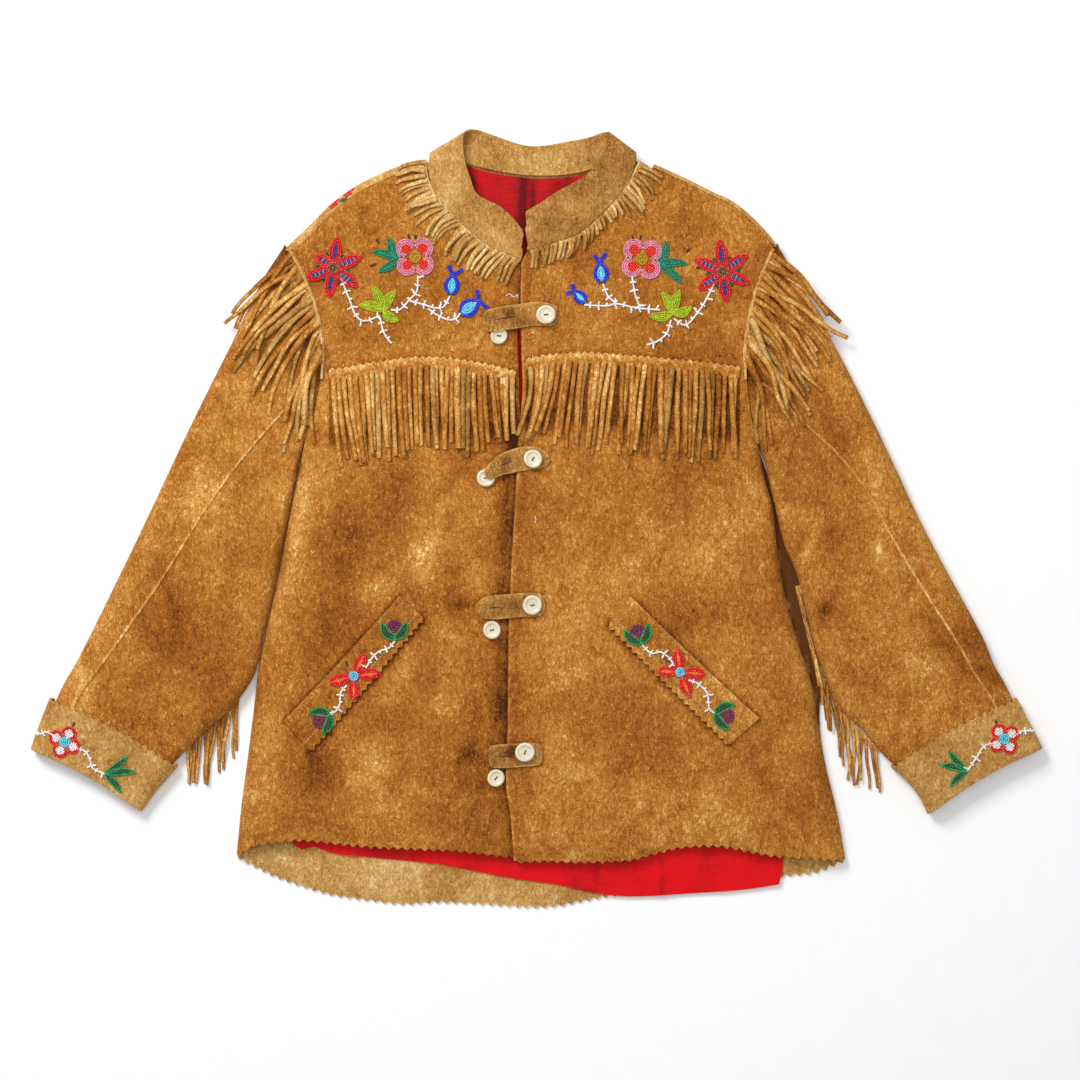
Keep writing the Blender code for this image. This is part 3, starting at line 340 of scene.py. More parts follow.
# under: how far the strip reaches under the rolled edge
SLEEVE_FRINGE_SIDES = {
    "left": dict(under=4.0, span=(-231, -181), count=15, aim=[(0, 268), (1, 262)], curl=[(0, 10)],
                 length=[(0, 34), (.5, 56), (1, 48)]),
    "right": dict(under=1.0, span=(-66, -232), count=28, aim=[(0, 296), (.3, 288), (.6, 278), (1, 273)],
                  curl=[(0, -10)], length=[(0, 22), (.3, 38), (.6, 52), (.8, 58), (1, 40)]),
}
ARMHOLE_FRINGE = dict(count=28, strip=5, tooth=0, width=(5.2, 6.8), stray=14, taper=.2, shade=-.01, pale=.3)
ARMHOLE_FRINGE_SPAN = (.05, .62)  # shares of the armhole
ARMHOLE_FRINGE_IN = 3.0  # how far the strip lies over the body's edge
ARMHOLE_FRINGE_SIDES = {
    "left": dict(aim=[(0, 222), (.5, 222), (1, 248)], curl=[(0, 18), (.5, 46), (1, 20)],
                 length=[(0, 86), (.4, 100), (1, 96)]),
    "right": dict(aim=[(0, 292), (.5, 320), (1, 320)], curl=[(0, -18), (.5, -46), (1, -20)],
                  length=[(0, 92), (.6, 100), (1, 84)]),
}
PIPING_SPAN = (.035, .70)  # shares of the armhole
PIPING_IN = 1.2
PIPING_WIDTH = 2.8
STEEPEST_DROP = 0.3  # most a strand drops per millimetre of its run
STRAND_FLOOR = 0.5
STRAND_CLEARANCE = 0.15
STRAND_STEP = 5  # length of a strand between two of its points
STRAND_SIDE_SHADE = 0.20  # painted shade: how much darker a strand's sides and underside are, for the shade between strands
SHADE_BEHIND_STRANDS = 0.32  # painted shade: how much darker the hide is behind the yoke's strands
SHADE_BEHIND_STRANDS_SPAN = (0, 10, 68, 82)  # distances below the strip at which that starts, is full and ends
# How strongly the pieces on the fronts shade them along their edges. Columns: strength, reach
WELT_TOP_SHADOW = (.34, 2.2)
WELT_FOOT_SHADOW = (.30, 5.0)
STRIP_SHADOW = (.22, 2.6)
COLLAR_SHADOW = (.26, 5.0)
TAB_SHADOW = (.16, 2.4)
UNDER_ARM_FRINGE = (42, .26)  # how far the armhole fringe shades the sleeve, and how strongly

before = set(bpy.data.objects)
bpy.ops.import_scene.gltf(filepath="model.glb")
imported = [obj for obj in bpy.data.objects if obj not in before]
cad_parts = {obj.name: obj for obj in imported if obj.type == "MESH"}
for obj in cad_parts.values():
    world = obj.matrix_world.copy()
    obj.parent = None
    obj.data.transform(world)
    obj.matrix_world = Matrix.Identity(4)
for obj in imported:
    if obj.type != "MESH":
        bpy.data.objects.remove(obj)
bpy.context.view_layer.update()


def smooth_path(points, shares):
    """Points at the given shares of the length of a smooth curve through the table's points."""
    known = np.array(points, float)
    ends = np.vstack([2 * known[0] - known[1], known, 2 * known[-1] - known[-2]])
    t = np.linspace(0, 1, 12, endpoint=False)[:, None]
    spans = [
        0.5 * (2 * b + (c - a) * t + (2 * a - 5 * b + 4 * c - d) * t**2 + (3 * b - 3 * c + d - a) * t**3)
        for a, b, c, d in zip(ends, ends[1:], ends[2:], ends[3:])
    ]
    dense = np.vstack(spans + [known[-1:]])
    run = run_along(dense)
    return spots(dense, run, np.asarray(shares) * run[-1])


def even(count):
    """Even shares from 0 to 1."""
    return np.linspace(0, 1, count)


def unit(vectors):
    return vectors / np.maximum(np.linalg.norm(vectors, axis=-1, keepdims=True), 1e-9)


def towards(turn):
    """A step of length 1 in the plan, in the direction of an angle in radians."""
    return np.array([math.cos(turn), math.sin(turn)])


def leftward(step):
    """The step turned a quarter to the left."""
    return np.array([-step[1], step[0]])


def to_the_right(path):
    """Unit normals on the right-hand side of a plan path."""
    along = unit(np.gradient(path, axis=0))
    return np.column_stack([along[:, 1], -along[:, 0]])


def run_along(path):
    """Distance from the path's start to each of its points."""
    return np.concatenate([[0], np.cumsum(np.linalg.norm(np.diff(path, axis=0), axis=1))])


def spots(path, run, at):
    """Points of a path at the given distances along it."""
    return np.stack([np.interp(at, run, column) for column in path.T], axis=-1)


def vary(index, kind):
    """A fixed number from -1 to 1 that differs from one index to the next."""
    return 2 * ((math.sin(12.9898 * index + 78.233 * kind) * 43758.5453) % 1) - 1


def read(table, at):
    """Value of a two-column table at the given place."""
    rows = sorted(table)
    return np.interp(at, [row[0] for row in rows], [row[1] for row in rows])


def uneven(x, y, size, kind):
    """Smooth unevenness from about -1 to 1 at plan points, with swells of the given size."""
    flat = [noise.fractal(Vector((a / size, b / size, 7.3 * kind)), 1.0, 2.0, 3)
            for a, b in zip(np.ravel(x), np.ravel(y))]
    return np.array(flat).reshape(np.shape(x))


def troughs(x, y, table):
    """Depth of the soft folds at plan points."""
    depth = np.zeros_like(x)
    for x0, y0, x1, y1, half_width, deepest in table:
        run = np.array([x1 - x0, y1 - y0], float)
        share = np.clip(((x - x0) * run[0] + (y - y0) * run[1]) / (run @ run), 0, 1)
        away = np.hypot(x - x0 - share * run[0], y - y0 - share * run[1])
        depth += deepest * np.exp(-((away / half_width) ** 2))
    return depth


def tooth_wave(run, pitch):
    """A saw-tooth from 0 to 1 along an edge."""
    place = run / pitch % 1
    return 1 - np.abs(2 * place - 1)


def raised(plan, height):
    """A grid in space from a grid of plan points and their heights."""
    return np.concatenate([plan, height[..., None]], axis=2)


def plateau(at, span):
    """1 between the two inner ends of the span, fading to 0 at its outer ends."""
    return np.interp(at, span, (0, 1, 1, 0))


def eased(share):
    """The share from 0 to 1 with a soft start and end."""
    return share**2 * (3 - 2 * share)


def quads(a, b, c, d):
    return np.stack([a, b, c, d], axis=-1).reshape(-1, 4)


def tube(rings, sides):
    """Faces round a tube of rings, with both its ends."""
    index = np.arange(rings * sides).reshape(rings, sides)
    around = np.concatenate([index, index[:, :1]], axis=1)
    faces = quads(around[:-1, :-1], around[:-1, 1:], around[1:, 1:], around[1:, :-1]).tolist()
    return faces + [index[0].tolist(), index[-1].tolist()[::-1]]


def put(name, data):
    """A new object in the scene."""
    thing = bpy.data.objects.new(name, data)
    bpy.context.collection.objects.link(thing)
    return thing


class Piece:
    """Points and faces gathered for one object."""

    def __init__(self):
        self.points, self.faces, self.paints, self.tones = [], [], [], []
        self.count = 0

    def add(self, points, faces, paint=0, tone=0.0):
        """paint is the number of the material, and tone lightens or darkens the hide."""
        points = np.asarray(points, float).reshape(-1, 3)
        faces = faces.tolist() if isinstance(faces, np.ndarray) else faces
        self.points.append(points)
        self.faces += [[self.count + i for i in face] for face in faces]
        self.paints += [paint] * len(faces)
        self.tones.append(np.broadcast_to(tone, len(points)))
        self.count += len(points)

    def build(self, name, slot, materials, stands_for_node=True, crisp=42):
        """The finished object, which stands for the CAD node of its name."""
        mesh = bpy.data.meshes.new(FINE + name)
        mesh.from_pydata((np.vstack(self.points) * MM).tolist(), [], self.faces)
        shape = bmesh.new()
        shape.from_mesh(mesh)
        bmesh.ops.recalc_face_normals(shape, faces=shape.faces)
        shape.to_mesh(mesh)
        shape.free()
        tone = mesh.attributes.new("tone", "FLOAT", "POINT")
        tone.data.foreach_set("value", np.concatenate(self.tones).astype(np.float32))
        for material in materials:
            mesh.materials.append(material)
        mesh.polygons.foreach_set("material_index", self.paints)
        mesh.shade_smooth()
        mesh.set_sharp_from_angle(angle=math.radians(crisp))
        thing = put(FINE + name, mesh)
        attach(thing, "root")
        if stands_for_node:
            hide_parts(name)
        return thing


def grid_normals(grid, closed):
    """Unit normals of a grid of points, rows by columns."""
    def along(lines):
        step = unit(np.diff(lines, axis=0))
        return unit(np.concatenate([step[:1], step[1:] + step[:-1], step[-1:]]))
    down = along(grid)
    if closed:
        wrapped = np.concatenate([grid[:, -1:], grid, grid[:, :1]], axis=1)
        across = np.swapaxes(along(np.swapaxes(wrapped, 0, 1)), 0, 1)[:, 1:-1]
    else:
        across = np.swapaxes(along(np.swapaxes(grid, 0, 1)), 0, 1)
    return unit(np.cross(across, down))


def shell(outer, wall, facing=1, lowest=None, closed=False, upright=False, level=None):
    """Points and faces of a wall whose outer face is the grid, with softly rounded cut edges.

    facing is 1 where the grid's rows by columns turn the outer face up, and -1 where they turn it down.
    level gives the edges, such as (0, -1) on axis 0 or 1, where the wall is level and cut square, each with
    1 where its outer face looks up and -1 where it looks down.
    """
    level = level or {}
    rows, columns = outer.shape[:2]
    outward_face = np.zeros_like(outer) + (0, 0, 1.0) if upright else facing * grid_normals(outer, closed)
    for (axis, edge), way in level.items():
        np.moveaxis(outward_face, axis, 0)[edge][:] = (0, 0, way)
    inner = outer - wall * outward_face
    if lowest is not None:
        inner[..., 2] = np.maximum(inner[..., 2], lowest)
    layer = rows * columns
    index = np.arange(layer).reshape(rows, columns)
    wrapped = np.concatenate([index, index[:, :1]], axis=1) if closed else index
    points = [outer.reshape(-1, 3), inner.reshape(-1, 3)]
    faces = [quads(wrapped[:-1, :-1], wrapped[:-1, 1:], wrapped[1:, 1:], wrapped[1:, :-1])]
    faces.append(faces[0][:, ::-1] + layer)
    count = 2 * layer
    middles = {}
    for axis, end in [(0, 0), (0, -1)] if closed else [(0, 0), (0, -1), (1, 0), (1, -1)]:
        over, under = np.moveaxis(outer, axis, 0), np.moveaxis(inner, axis, 0)
        rim = np.moveaxis(index, axis, 0)[end]
        outward = unit(over[end] - over[1 if end == 0 else -2])
        swell = 0 if (axis, end) in level else RIM_BULGE * wall
        points.append((over[end] + under[end]) / 2 + swell * outward)
        middle = count + np.arange(len(rim))
        count += len(rim)
        middles[axis, end] = middle
        if closed:
            rim, middle = np.append(rim, rim[0]), np.append(middle, middle[0])
        faces.append(quads(rim[:-1], rim[1:], middle[1:], middle[:-1]))
        faces.append(quads(middle[:-1], middle[1:], rim[1:] + layer, rim[:-1] + layer))
    if not closed:
        for row in (0, -1):
            for column in (0, -1):
                corner = index[row, column]
                faces.append(np.array([[corner, middles[0, row][column], corner + layer,
                                        middles[1, column][row]]]))
    return np.vstack(points), np.vstack(faces)


def panel(outline, wall, height, step):
    """Points and faces of a cut piece laid nearly flat, filled with small faces."""
    outline = np.asarray(outline, float)
    shape = bmesh.new()
    shape.faces.new([shape.verts.new((x, y, 0)) for x, y in outline])
    for axis in (0, 1):
        across = [0.0, 0.0, 0.0]
        across[axis] = 1.0
        for place in np.arange(outline[:, axis].min() + step / 2, outline[:, axis].max(), step):
            whole = shape.verts[:] + shape.edges[:] + shape.faces[:]
            bmesh.ops.bisect_plane(shape, geom=whole, plane_co=Vector(across) * place, plane_no=across)
    shape.verts.index_update()
    plan = np.array([v.co[:2] for v in shape.verts])
    faces = [[v.index for v in face.verts] for face in shape.faces]
    rims = [[v.index for v in edge.verts] for edge in shape.edges if len(edge.link_faces) == 1]
    shape.free()
    top = height(plan[:, 0], plan[:, 1])
    count = len(plan)
    points = np.vstack([np.column_stack([plan, top]), np.column_stack([plan, top - wall])])
    faces += [[count + i for i in face[::-1]] for face in faces]
    faces += [[a, b, count + b, count + a] for a, b in rims]
    return points, faces


class Relief:
    """Height of everything laid so far, on a plan grid of one-millimetre cells."""

    LOW = (-530, -410)
    SIZE = (1060, 820)

    def __init__(self):
        self.z = np.zeros(self.SIZE)

    def lay(self, thing):
        """Raises the grid to the object's upper surface."""
        mesh = thing.data
        points = np.array([v.co for v in mesh.vertices]) / MM
        tree = BVHTree.FromPolygons(points.tolist(), [tuple(face.vertices) for face in mesh.polygons])
        first = np.floor(points.min(0)[:2]).astype(int)
        last = np.ceil(points.max(0)[:2]).astype(int)
        down = Vector((0, 0, -1))
        for i in range(first[0], last[0] + 1):
            for j in range(first[1], last[1] + 1):
                hit = tree.ray_cast(Vector((i, j, 100)), down)[0]
                if hit:
                    cell = i - self.LOW[0], j - self.LOW[1]
                    self.z[cell] = max(self.z[cell], hit.z)

    def copy(self):
        other = Relief()
        other.z = self.z.copy()
        return other

    def top(self, x, y, reach):
        """The highest point within reach of a plan point."""
        i, j, r = round(x) - self.LOW[0], round(y) - self.LOW[1], max(round(reach), 0)
        return self.z[i - r:i + r + 1, j - r:j + r + 1].max()

    def at(self, x, y):
        """Height at plan points, smoothed over the cells."""
        u, v = np.asarray(x) - self.LOW[0], np.asarray(y) - self.LOW[1]
        i, j = np.floor(u).astype(int), np.floor(v).astype(int)
        a, b = u - i, v - j
        return ((1 - a) * (1 - b) * self.z[i, j] + a * (1 - b) * self.z[i + 1, j]
                + (1 - a) * b * self.z[i, j + 1] + a * b * self.z[i + 1, j + 1])

    def stamp(self, x, y, reach, height):
        """Raises the cells within reach of a plan point."""
        i, j, r = round(x) - self.LOW[0], round(y) - self.LOW[1], max(round(reach), 0)
        window = self.z[i - r:i + r + 1, j - r:j + r + 1]
        np.maximum(window, height, out=window)


def settle(path, relief, reach, start=None):
    """Heights of a strand's underside: clear of what is below, and never dropping or rising steeply."""
    steps = np.linalg.norm(np.diff(path, axis=0), axis=1)
    low = [max(relief.top(x, y, reach) + STRAND_CLEARANCE, STRAND_FLOOR) for x, y in path]
    if start is not None:
        low[0] = start
    for k in range(1, len(low)):
        low[k] = max(low[k], low[k - 1] - STEEPEST_DROP * steps[k - 1])
    for k in range(len(low) - 2, 0 if start is not None else -1, -1):
        low[k] = max(low[k], low[k + 1] - STEEPEST_DROP * steps[k])
    return np.array(low)


# Section of a strip of hide. Columns: share of the half width, share of the thickness
RIBBON_PROFILE = [(-1, .5), (-.72, 1), (0, 1.06), (.72, 1), (1, .5), (.72, 0), (-.72, 0)]
RIBBON_SHADE = [1, 0, -.5, 0, 1, 1, 1]  # how much of a strand's painted side shade each of its points gets; the top middle gets a painted highlight


def ribbon(path, low, widths, thick):
    """Points and faces of a soft-edged strip of hide along a path."""
    side = to_the_right(path)
    rings = []
    for (x, y), (sx, sy), z, width in zip(path, side, low, widths):
        half = width / 2
        rings += [(x + s * half * sx, y + s * half * sy, z + t * thick) for s, t in RIBBON_PROFILE]
    return rings, tube(len(path), len(RIBBON_PROFILE))


def tint(red, green, blue):
    """A colour from its 0 to 255 screen values."""
    return tuple((c / 255 / 12.92) if c < 11 else ((c / 255 + .055) / 1.055) ** 2.4
                 for c in (red, green, blue)) + (1.0,)


class Finish:
    """A procedural material, with short calls for its nodes."""

    def __init__(self, name, **sockets):
        self.material = bpy.data.materials.new(name)
        self.material.use_nodes = True
        self.nodes, self.links = self.material.node_tree.nodes, self.material.node_tree.links
        self.shader = self.nodes["Principled BSDF"]
        for socket, value in sockets.items():
            self.shader.inputs[socket.replace("_", " ")].default_value = value
        self.place = self.nodes.new("ShaderNodeTexCoord").outputs["Object"]

    def tone(self):
        """The lightening or darkening that the mesh carries."""
        return self.node("ShaderNodeAttribute", attribute_name="tone").outputs["Fac"]

    def node(self, kind, inputs=(), **settings):
        made = self.nodes.new(kind)
        for key, value in settings.items():
            setattr(made, key, value)
        for socket, value in inputs:
            if isinstance(value, bpy.types.NodeSocket):
                self.links.new(value, made.inputs[socket])
            else:
                made.inputs[socket].default_value = value
        return made

    def stretched(self, stretch, turn=0.0):
        """The object's own coordinates, turned and stretched."""
        return self.node("ShaderNodeMapping", [("Vector", self.place), ("Rotation", (0, 0, turn)),
                                               ("Scale", stretch)]).outputs[0]

    def grain(self, scale, detail=4.0, stretch=(1, 1, 1), turn=0.0, distortion=0.0, rough=0.55):
        """Cloudy noise from 0 to 1, with scale swells to a metre."""
        return self.node("ShaderNodeTexNoise",
                         [("Vector", self.stretched(stretch, turn)), ("Scale", scale), ("Detail", detail),
                          ("Roughness", rough), ("Distortion", distortion)]).outputs[0]

    def cells(self, scale, stretch):
        """Distance to the nearest edge of a field of cracked cells."""
        return self.node("ShaderNodeTexVoronoi", [("Vector", self.stretched(stretch)), ("Scale", scale)],
                         feature="DISTANCE_TO_EDGE").outputs["Distance"]

    def sum(self, first, *terms):
        """first plus each value times its weight."""
        for value, weight in terms:
            first = self.math("MULTIPLY_ADD", value, weight, first)
        return first

    def math(self, how, *values):
        return self.node("ShaderNodeMath", enumerate(values), operation=how).outputs[0]

    def times(self, a, b):
        return self.math("MULTIPLY", a, b)

    def between(self, value, low, high):
        """0 below low and 1 above high."""
        return self.node("ShaderNodeMapRange", [("Value", value), ("From Min", low), ("From Max", high)],
                         interpolation_type="SMOOTHSTEP").outputs[0]

    def ramp(self, value, stops):
        made = self.node("ShaderNodeValToRGB", [("Fac", value)])
        steps = made.color_ramp.elements
        for place, _ in stops[2:]:
            steps.new(place)
        for step, (place, colour) in zip(steps, sorted(stops)):
            step.position, step.color = place, tint(*colour)
        return made.outputs[0]

    def bumps(self, *layers):
        """The normal over layers of unevenness, each a height and its depth in millimetres."""
        normal = None
        for height, depth in layers:
            inputs = [("Height", height), ("Distance", depth * MM), ("Strength", 1.0)]
            if normal:
                inputs.append(("Normal", normal))
            normal = self.node("ShaderNodeBump", inputs).outputs[0]
        return normal

    def finish(self, colour, roughness=None, normal=None):
        self.links.new(colour, self.shader.inputs["Base Color"])
        if roughness:
            self.links.new(roughness, self.shader.inputs["Roughness"])
        if normal:
            self.links.new(normal, self.shader.inputs["Normal"])
        return self.material


# Colours of the smoked hide from its darkest stain to its palest wear. Columns: place, red, green, blue
SMOKED = [(0.0, (66, 30, 6)), (.22, (124, 66, 16)), (.42, (158, 93, 28)), (.6, (184, 120, 46)),
          (.78, (210, 154, 78)), (1.0, (244, 206, 136))]
LIGHT = [(0.0, (92, 52, 18)), (.22, (142, 92, 38)), (.42, (172, 122, 58)), (.6, (196, 148, 80)),
         (.78, (218, 178, 112)), (1.0, (246, 218, 166))]


def hide_finish(name, stops, crackle=1.0):
    """Matt suede: smoke clouds, pale cracked wear, fine wrinkles along the body and a short nap."""
    made = Finish(name, Roughness=0.92, Specular_IOR_Level=0.16, Sheen_Weight=0.06, Sheen_Roughness=0.45,
                  Sheen_Tint=tint(255, 214, 150))
    tone = made.tone()
    clouds = made.grain(8, 5, distortion=.5)
    swirls = made.grain(30, 6, stretch=(1.0, .75, 1.0), distortion=1.1, rough=.62)
    flecks = made.grain(190, 5, distortion=.4, rough=.65)
    nap_lines = made.grain(360, 4, stretch=(1.0, .38, 1.0), distortion=1.2, rough=.6)
    fine = made.grain(760, 3, rough=.7)
    wear = made.between(made.sum(tone, (made.grain(20, 6, distortion=.8, rough=.62), 1.0)), .58, .86)
    cracks = made.between(made.cells(190, (1.0, .6, 1.0)), .03, .22)
    patches = made.between(made.grain(95, 4, distortion=1.0), .44, .62)
    worn = made.times(made.times(wear, made.times(cracks, patches)), .34 * crackle)
    tufts = made.between(made.grain(420, 3, stretch=(1.0, .62, 1.0), distortion=.7, rough=.7), .52, .64)
    crazing = made.between(made.cells(150, (1.0, .42, 1.0)), .0, .07)
    pits = made.between(made.grain(300, 3, distortion=.6, rough=.7), .56, .70)
    level = made.sum(-1.03, (crazing, .10), (clouds, .66), (swirls, .60), (flecks, .42), (nap_lines, .58),
                     (fine, .62), (tone, 1.15), (worn, 1.15), (tufts, .20), (pits, -.19))
    colour = made.ramp(level, stops)
    height = made.sum(0.0, (swirls, .8), (flecks, .4))
    normal = made.bumps((height, 1.6), (nap_lines, 1.0), (made.times(wear, cracks), .40 * crackle),
                        (fine, .50))
    return made.finish(colour, made.sum(.82, (flecks, .16)), normal)


def lining_finish():
    """Red satin with a fine weave and slightly darker slubs."""
    made = Finish("lining_satin", Roughness=0.6, Specular_IOR_Level=0.14)
    swells = made.grain(28, 3, stretch=(1.0, .35, 1.0))
    slubs = made.grain(260, 3, stretch=(.25, 1.0, 1.0))
    weave = made.grain(1500, 2)
    tone = made.tone()
    level = made.sum(-.35, (swells, .9), (slubs, .45), (weave, .35), (tone, 1.0))
    colour = made.ramp(level, [(0.0, (104, 0, 6)), (.5, (216, 4, 14)), (1.0, (232, 8, 20))])
    normal = made.bumps((swells, 1.5), (slubs, .25), (weave, .12))
    return made.finish(colour, made.sum(.50, (slubs, .18)), normal)


def button_finish():
    """Cream button, slightly uneven in colour and faintly scratched."""
    made = Finish("button_cream", Roughness=0.4, Specular_IOR_Level=0.45, Coat_Weight=0.15,
                  Coat_Roughness=0.25)
    clouds = made.grain(120, 3)
    scratches = made.grain(700, 3, stretch=(.2, 1.0, 1.0), turn=.7)
    level = made.sum(-.2, (clouds, .9), (scratches, .4))
    colour = made.ramp(level, [(0.0, (184, 170, 138)), (.5, (220, 210, 184)), (1.0, (242, 238, 220))])
    return made.finish(colour, made.sum(.30, (scratches, .25)), made.bumps((scratches, .06)))


def thread_finish(name, dark, light):
    """Twisted sewing thread."""
    made = Finish(name, Roughness=0.8, Specular_IOR_Level=0.25, Sheen_Weight=0.2)
    twist = made.grain(1400, 2, stretch=(1.0, .4, 1.0), turn=.8)
    return made.finish(made.ramp(twist, [(.3, dark), (.7, light)]), normal=made.bumps((twist, .15)))


SUEDE = hide_finish("hide_smoked", SMOKED)
PALE_SUEDE = hide_finish("hide_pale", LIGHT, crackle=.8)
SATIN = lining_finish()
CREAM = button_finish()
SINEW = thread_finish("thread_sinew", (150, 112, 66), (226, 198, 150))
WHITE_THREAD = thread_finish("thread_white", (206, 196, 184), (246, 240, 232))
DARK_THREAD = thread_finish("thread_dark", (40, 26, 14), (84, 58, 34))

# Stains and wear, with a few painted shadows and highlights marked below. Columns: x, y, half length, half
# width, turn in degrees, strength
STAINS_AND_PAINTED_LIGHT = [
    (-114, -36, 30, 17, 74, .22), (-158, -69, 22, 16, 20, .18), (-133, -148, 26, 14, 70, .15),
    (-95, -186, 20, 14, 40, .14), (-161, -237, 24, 18, 80, .12), (-174, -257, 20, 12, 20, .10),
    # the first is a painted highlight along a fold at the left front's side
    (-238, -20, 60, 11, 80, .20), (-264, -220, 62, 14, 82, .16),
    (-140, 24, 74, 32, 52, -.13), (-33, -20, 90, 6, 87, -.13), (-72, -84, 20, 14, 20, -.12),
    (-153, -199, 26, 14, 20, -.12), (-84, 60, 40, 24, 70, -.05),
    (-222, -250, 34, 22, 70, -.13), (-196, -40, 60, 18, 85, -.10), (-60, -250, 44, 24, 80, -.08),
    (180, -95, 66, 26, 10, -.13), (284, -295, 34, 20, 70, -.14), (60, 40, 60, 40, 80, .04),
    (100, -280, 70, 30, 0, .07), (40, -200, 40, 60, 0, .05), (140, -20, 40, 50, 0, .05),
    (-171, 300, 44, 30, 40, -.05), (164, 305, 50, 28, -35, -.05), (-120, 230, 60, 40, 0, -.03),
    (-366, -95, 62, 40, 60, -.15), (-452, -172, 26, 18, 60, .14), (-336, 20, 30, 18, 70, .14),
    (-300, 140, 50, 16, 60, .08), (-300, -60, 40, 18, 70, -.10), (-400, -60, 60, 14, 60, .08),
    (429, -115, 46, 26, -60, -.15), (339, 35, 44, 22, -65, .12), (300, 90, 50, 18, -70, -.10),
    (310, -60, 70, 22, -75, -.10), (372, -40, 50, 18, -62, -.06), (388, -150, 40, 22, -60, .12),
    (330, -150, 40, 24, -60, -.06),
    # the second is a painted shadow left of tab 4
    (-74, -84, 8, 6, 10, -.18), (-68, -234, 12, 8, 20, -.20), (-39, -122, 9, 7, 0, -.18),
    # the last is painted shade in the gap beside the right sleeve
    (-62, 40, 10, 9, 0, -.10), (-38, -175, 40, 8, 86, -.10), (289, -90, 14, 8, 60, -.34),
    (-20, 90, 12, 30, 0, -.10), (-90, 190, 60, 20, 0, .05), (90, 190, 70, 16, 0, .06),
    (20, 240, 20, 16, 0, .06), (344, -30, 8, 4, -60, .24), (272, -30, 14, 5, 70, .22),
]


def stains_and_painted_light(x, y):
    """How much the hide is lighter or darker at plan points: stains and wear, with a few painted shadows and
    highlights.
    """
    total = np.zeros(np.shape(x))
    for x0, y0, long, wide, turn, strength in STAINS_AND_PAINTED_LIGHT:
        c, s = math.cos(math.radians(turn)), math.sin(math.radians(turn))
        along, aside = (x - x0) * c + (y - y0) * s, (y - y0) * c - (x - x0) * s
        total += strength * np.exp(-((along / long) ** 2 + (aside / wide) ** 2))
    return total


def armhole(side, shares):
    """Plan points down the body's armhole edge."""
    top, bottom = np.array(ARMHOLE[side], float)
    return bowed(top, bottom, ARMHOLE_BOW[side] * SIGN[side], shares)


def bowed(start, end, bow, shares):
    """Points from start to end on a shallow arc that stands off to the left of the way."""
    chord = end - start
    left = unit(leftward(chord))
    shares = np.asarray(shares, float)[:, None]
    return start + chord * shares + left * bow * 4 * shares * (1 - shares)


def shoulder_line(side, inset, count=13):
    """The body's shoulder edge from the armhole to the neck, moved in by the inset."""
    line = smooth_path(SHOULDER_EDGE[side], even(count))
    return line + SIGN[side] * inset * to_the_right(line)


def pinked(path, depth):
    """The path cut in teeth that stand out on its right."""
    length = run_along(np.array(path, float))[-1]
    line = smooth_path(path, even(2 * round(length / TOOTH_PITCH) + 1))
    line[1::2] += depth * to_the_right(line)[1::2]
    return line


def build_back():
    """Two halves with a seam down the middle and a pinked hem, lying on the surface."""
    halves = {"left": CENTRE_BACK_X - SEAM / 2, "right": CENTRE_BACK_X + SEAM / 2}
    made = []
    for side, seam_x in halves.items():
        outward = -SIGN[side]
        neck = [p for p in BACK_NECK if (p[0] - seam_x) * outward > 0]
        if side == "left":
            neck = neck[::-1]
        shoulder = shoulder_line(side, SHOULDER_UNDER + SEAM)[::-1]
        sleeve_edge = armhole(side, np.linspace(SHOULDER_CORNER + .03, 1, 25))
        flank = smooth_path(BACK_SIDE[side], even(40))[1:-1]
        flank[:, 0] += outward * UNDER_SLEEVE * plateau(flank[:, 1], UNDER_SLEEVE_SPAN)
        hem = [p for p in BACK_HEM if (p[0] - seam_x) * outward > 0]
        hem_line = pinked([(seam_x, -386)] + (hem[::-1] if side == "left" else hem),
                          depth=-SIGN[side] * TOOTH_DEPTH)[::-1]
        outline = np.vstack([[(seam_x, 349)], neck, shoulder, sleeve_edge, flank, hem_line])
        piece = Piece()
        points, faces = panel(outline, HIDE, lambda x, y: np.full(len(x), HIDE), BACK_STEP)
        lighter = .06 if side == "left" else -.04
        x, y = points.T[:2]
        # painted shade on the back where it shows in the gap beside the right sleeve
        gap_shade = np.clip((x - read([(b, a) for a, b in SIDE["right"]], y)) / 3, 0, 1)
        tone = lighter - .75 * gap_shade * (y > -205)
        piece.add(points, faces, tone=tone + .05 * uneven(x, y, 60, 4))
        made.append(piece.build(f"back_{side}", "hide_light", [PALE_SUEDE]))
    return made


def build_lining():
    """Smooth red lining over the inside of the back, seen at the neck and below the front hem."""
    def height(x, y):
        rise = -troughs(x, y, LINING_FOLDS) + .35 + .35 * uneven(x, y, 34, 9)
        return HIDE + SEAM + LINING + np.maximum(rise, 0)
    piece = Piece()
    points, faces = panel(smooth_path(LINING_OUTLINE, even(150)), LINING, height, LINING_STEP)
    x, y = points.T[:2]
    # painted shade: the lining darkens towards the neck and along its creases
    tone = -.26 * np.clip((y - 240) / 40, 0, 1)
    for x0, y0, x1, y1, half_width, strength in LINING_CREASE_SHADE:
        crease = [(x0, y0), ((x0 + x1) / 2 + 1, (y0 + y1) / 2), (x1, y1)]
        tone -= strength * along_line(x, y, crease, half_width)
    piece.add(points, faces, tone=tone)
    return piece.build("lining_back", "lining", [SATIN])


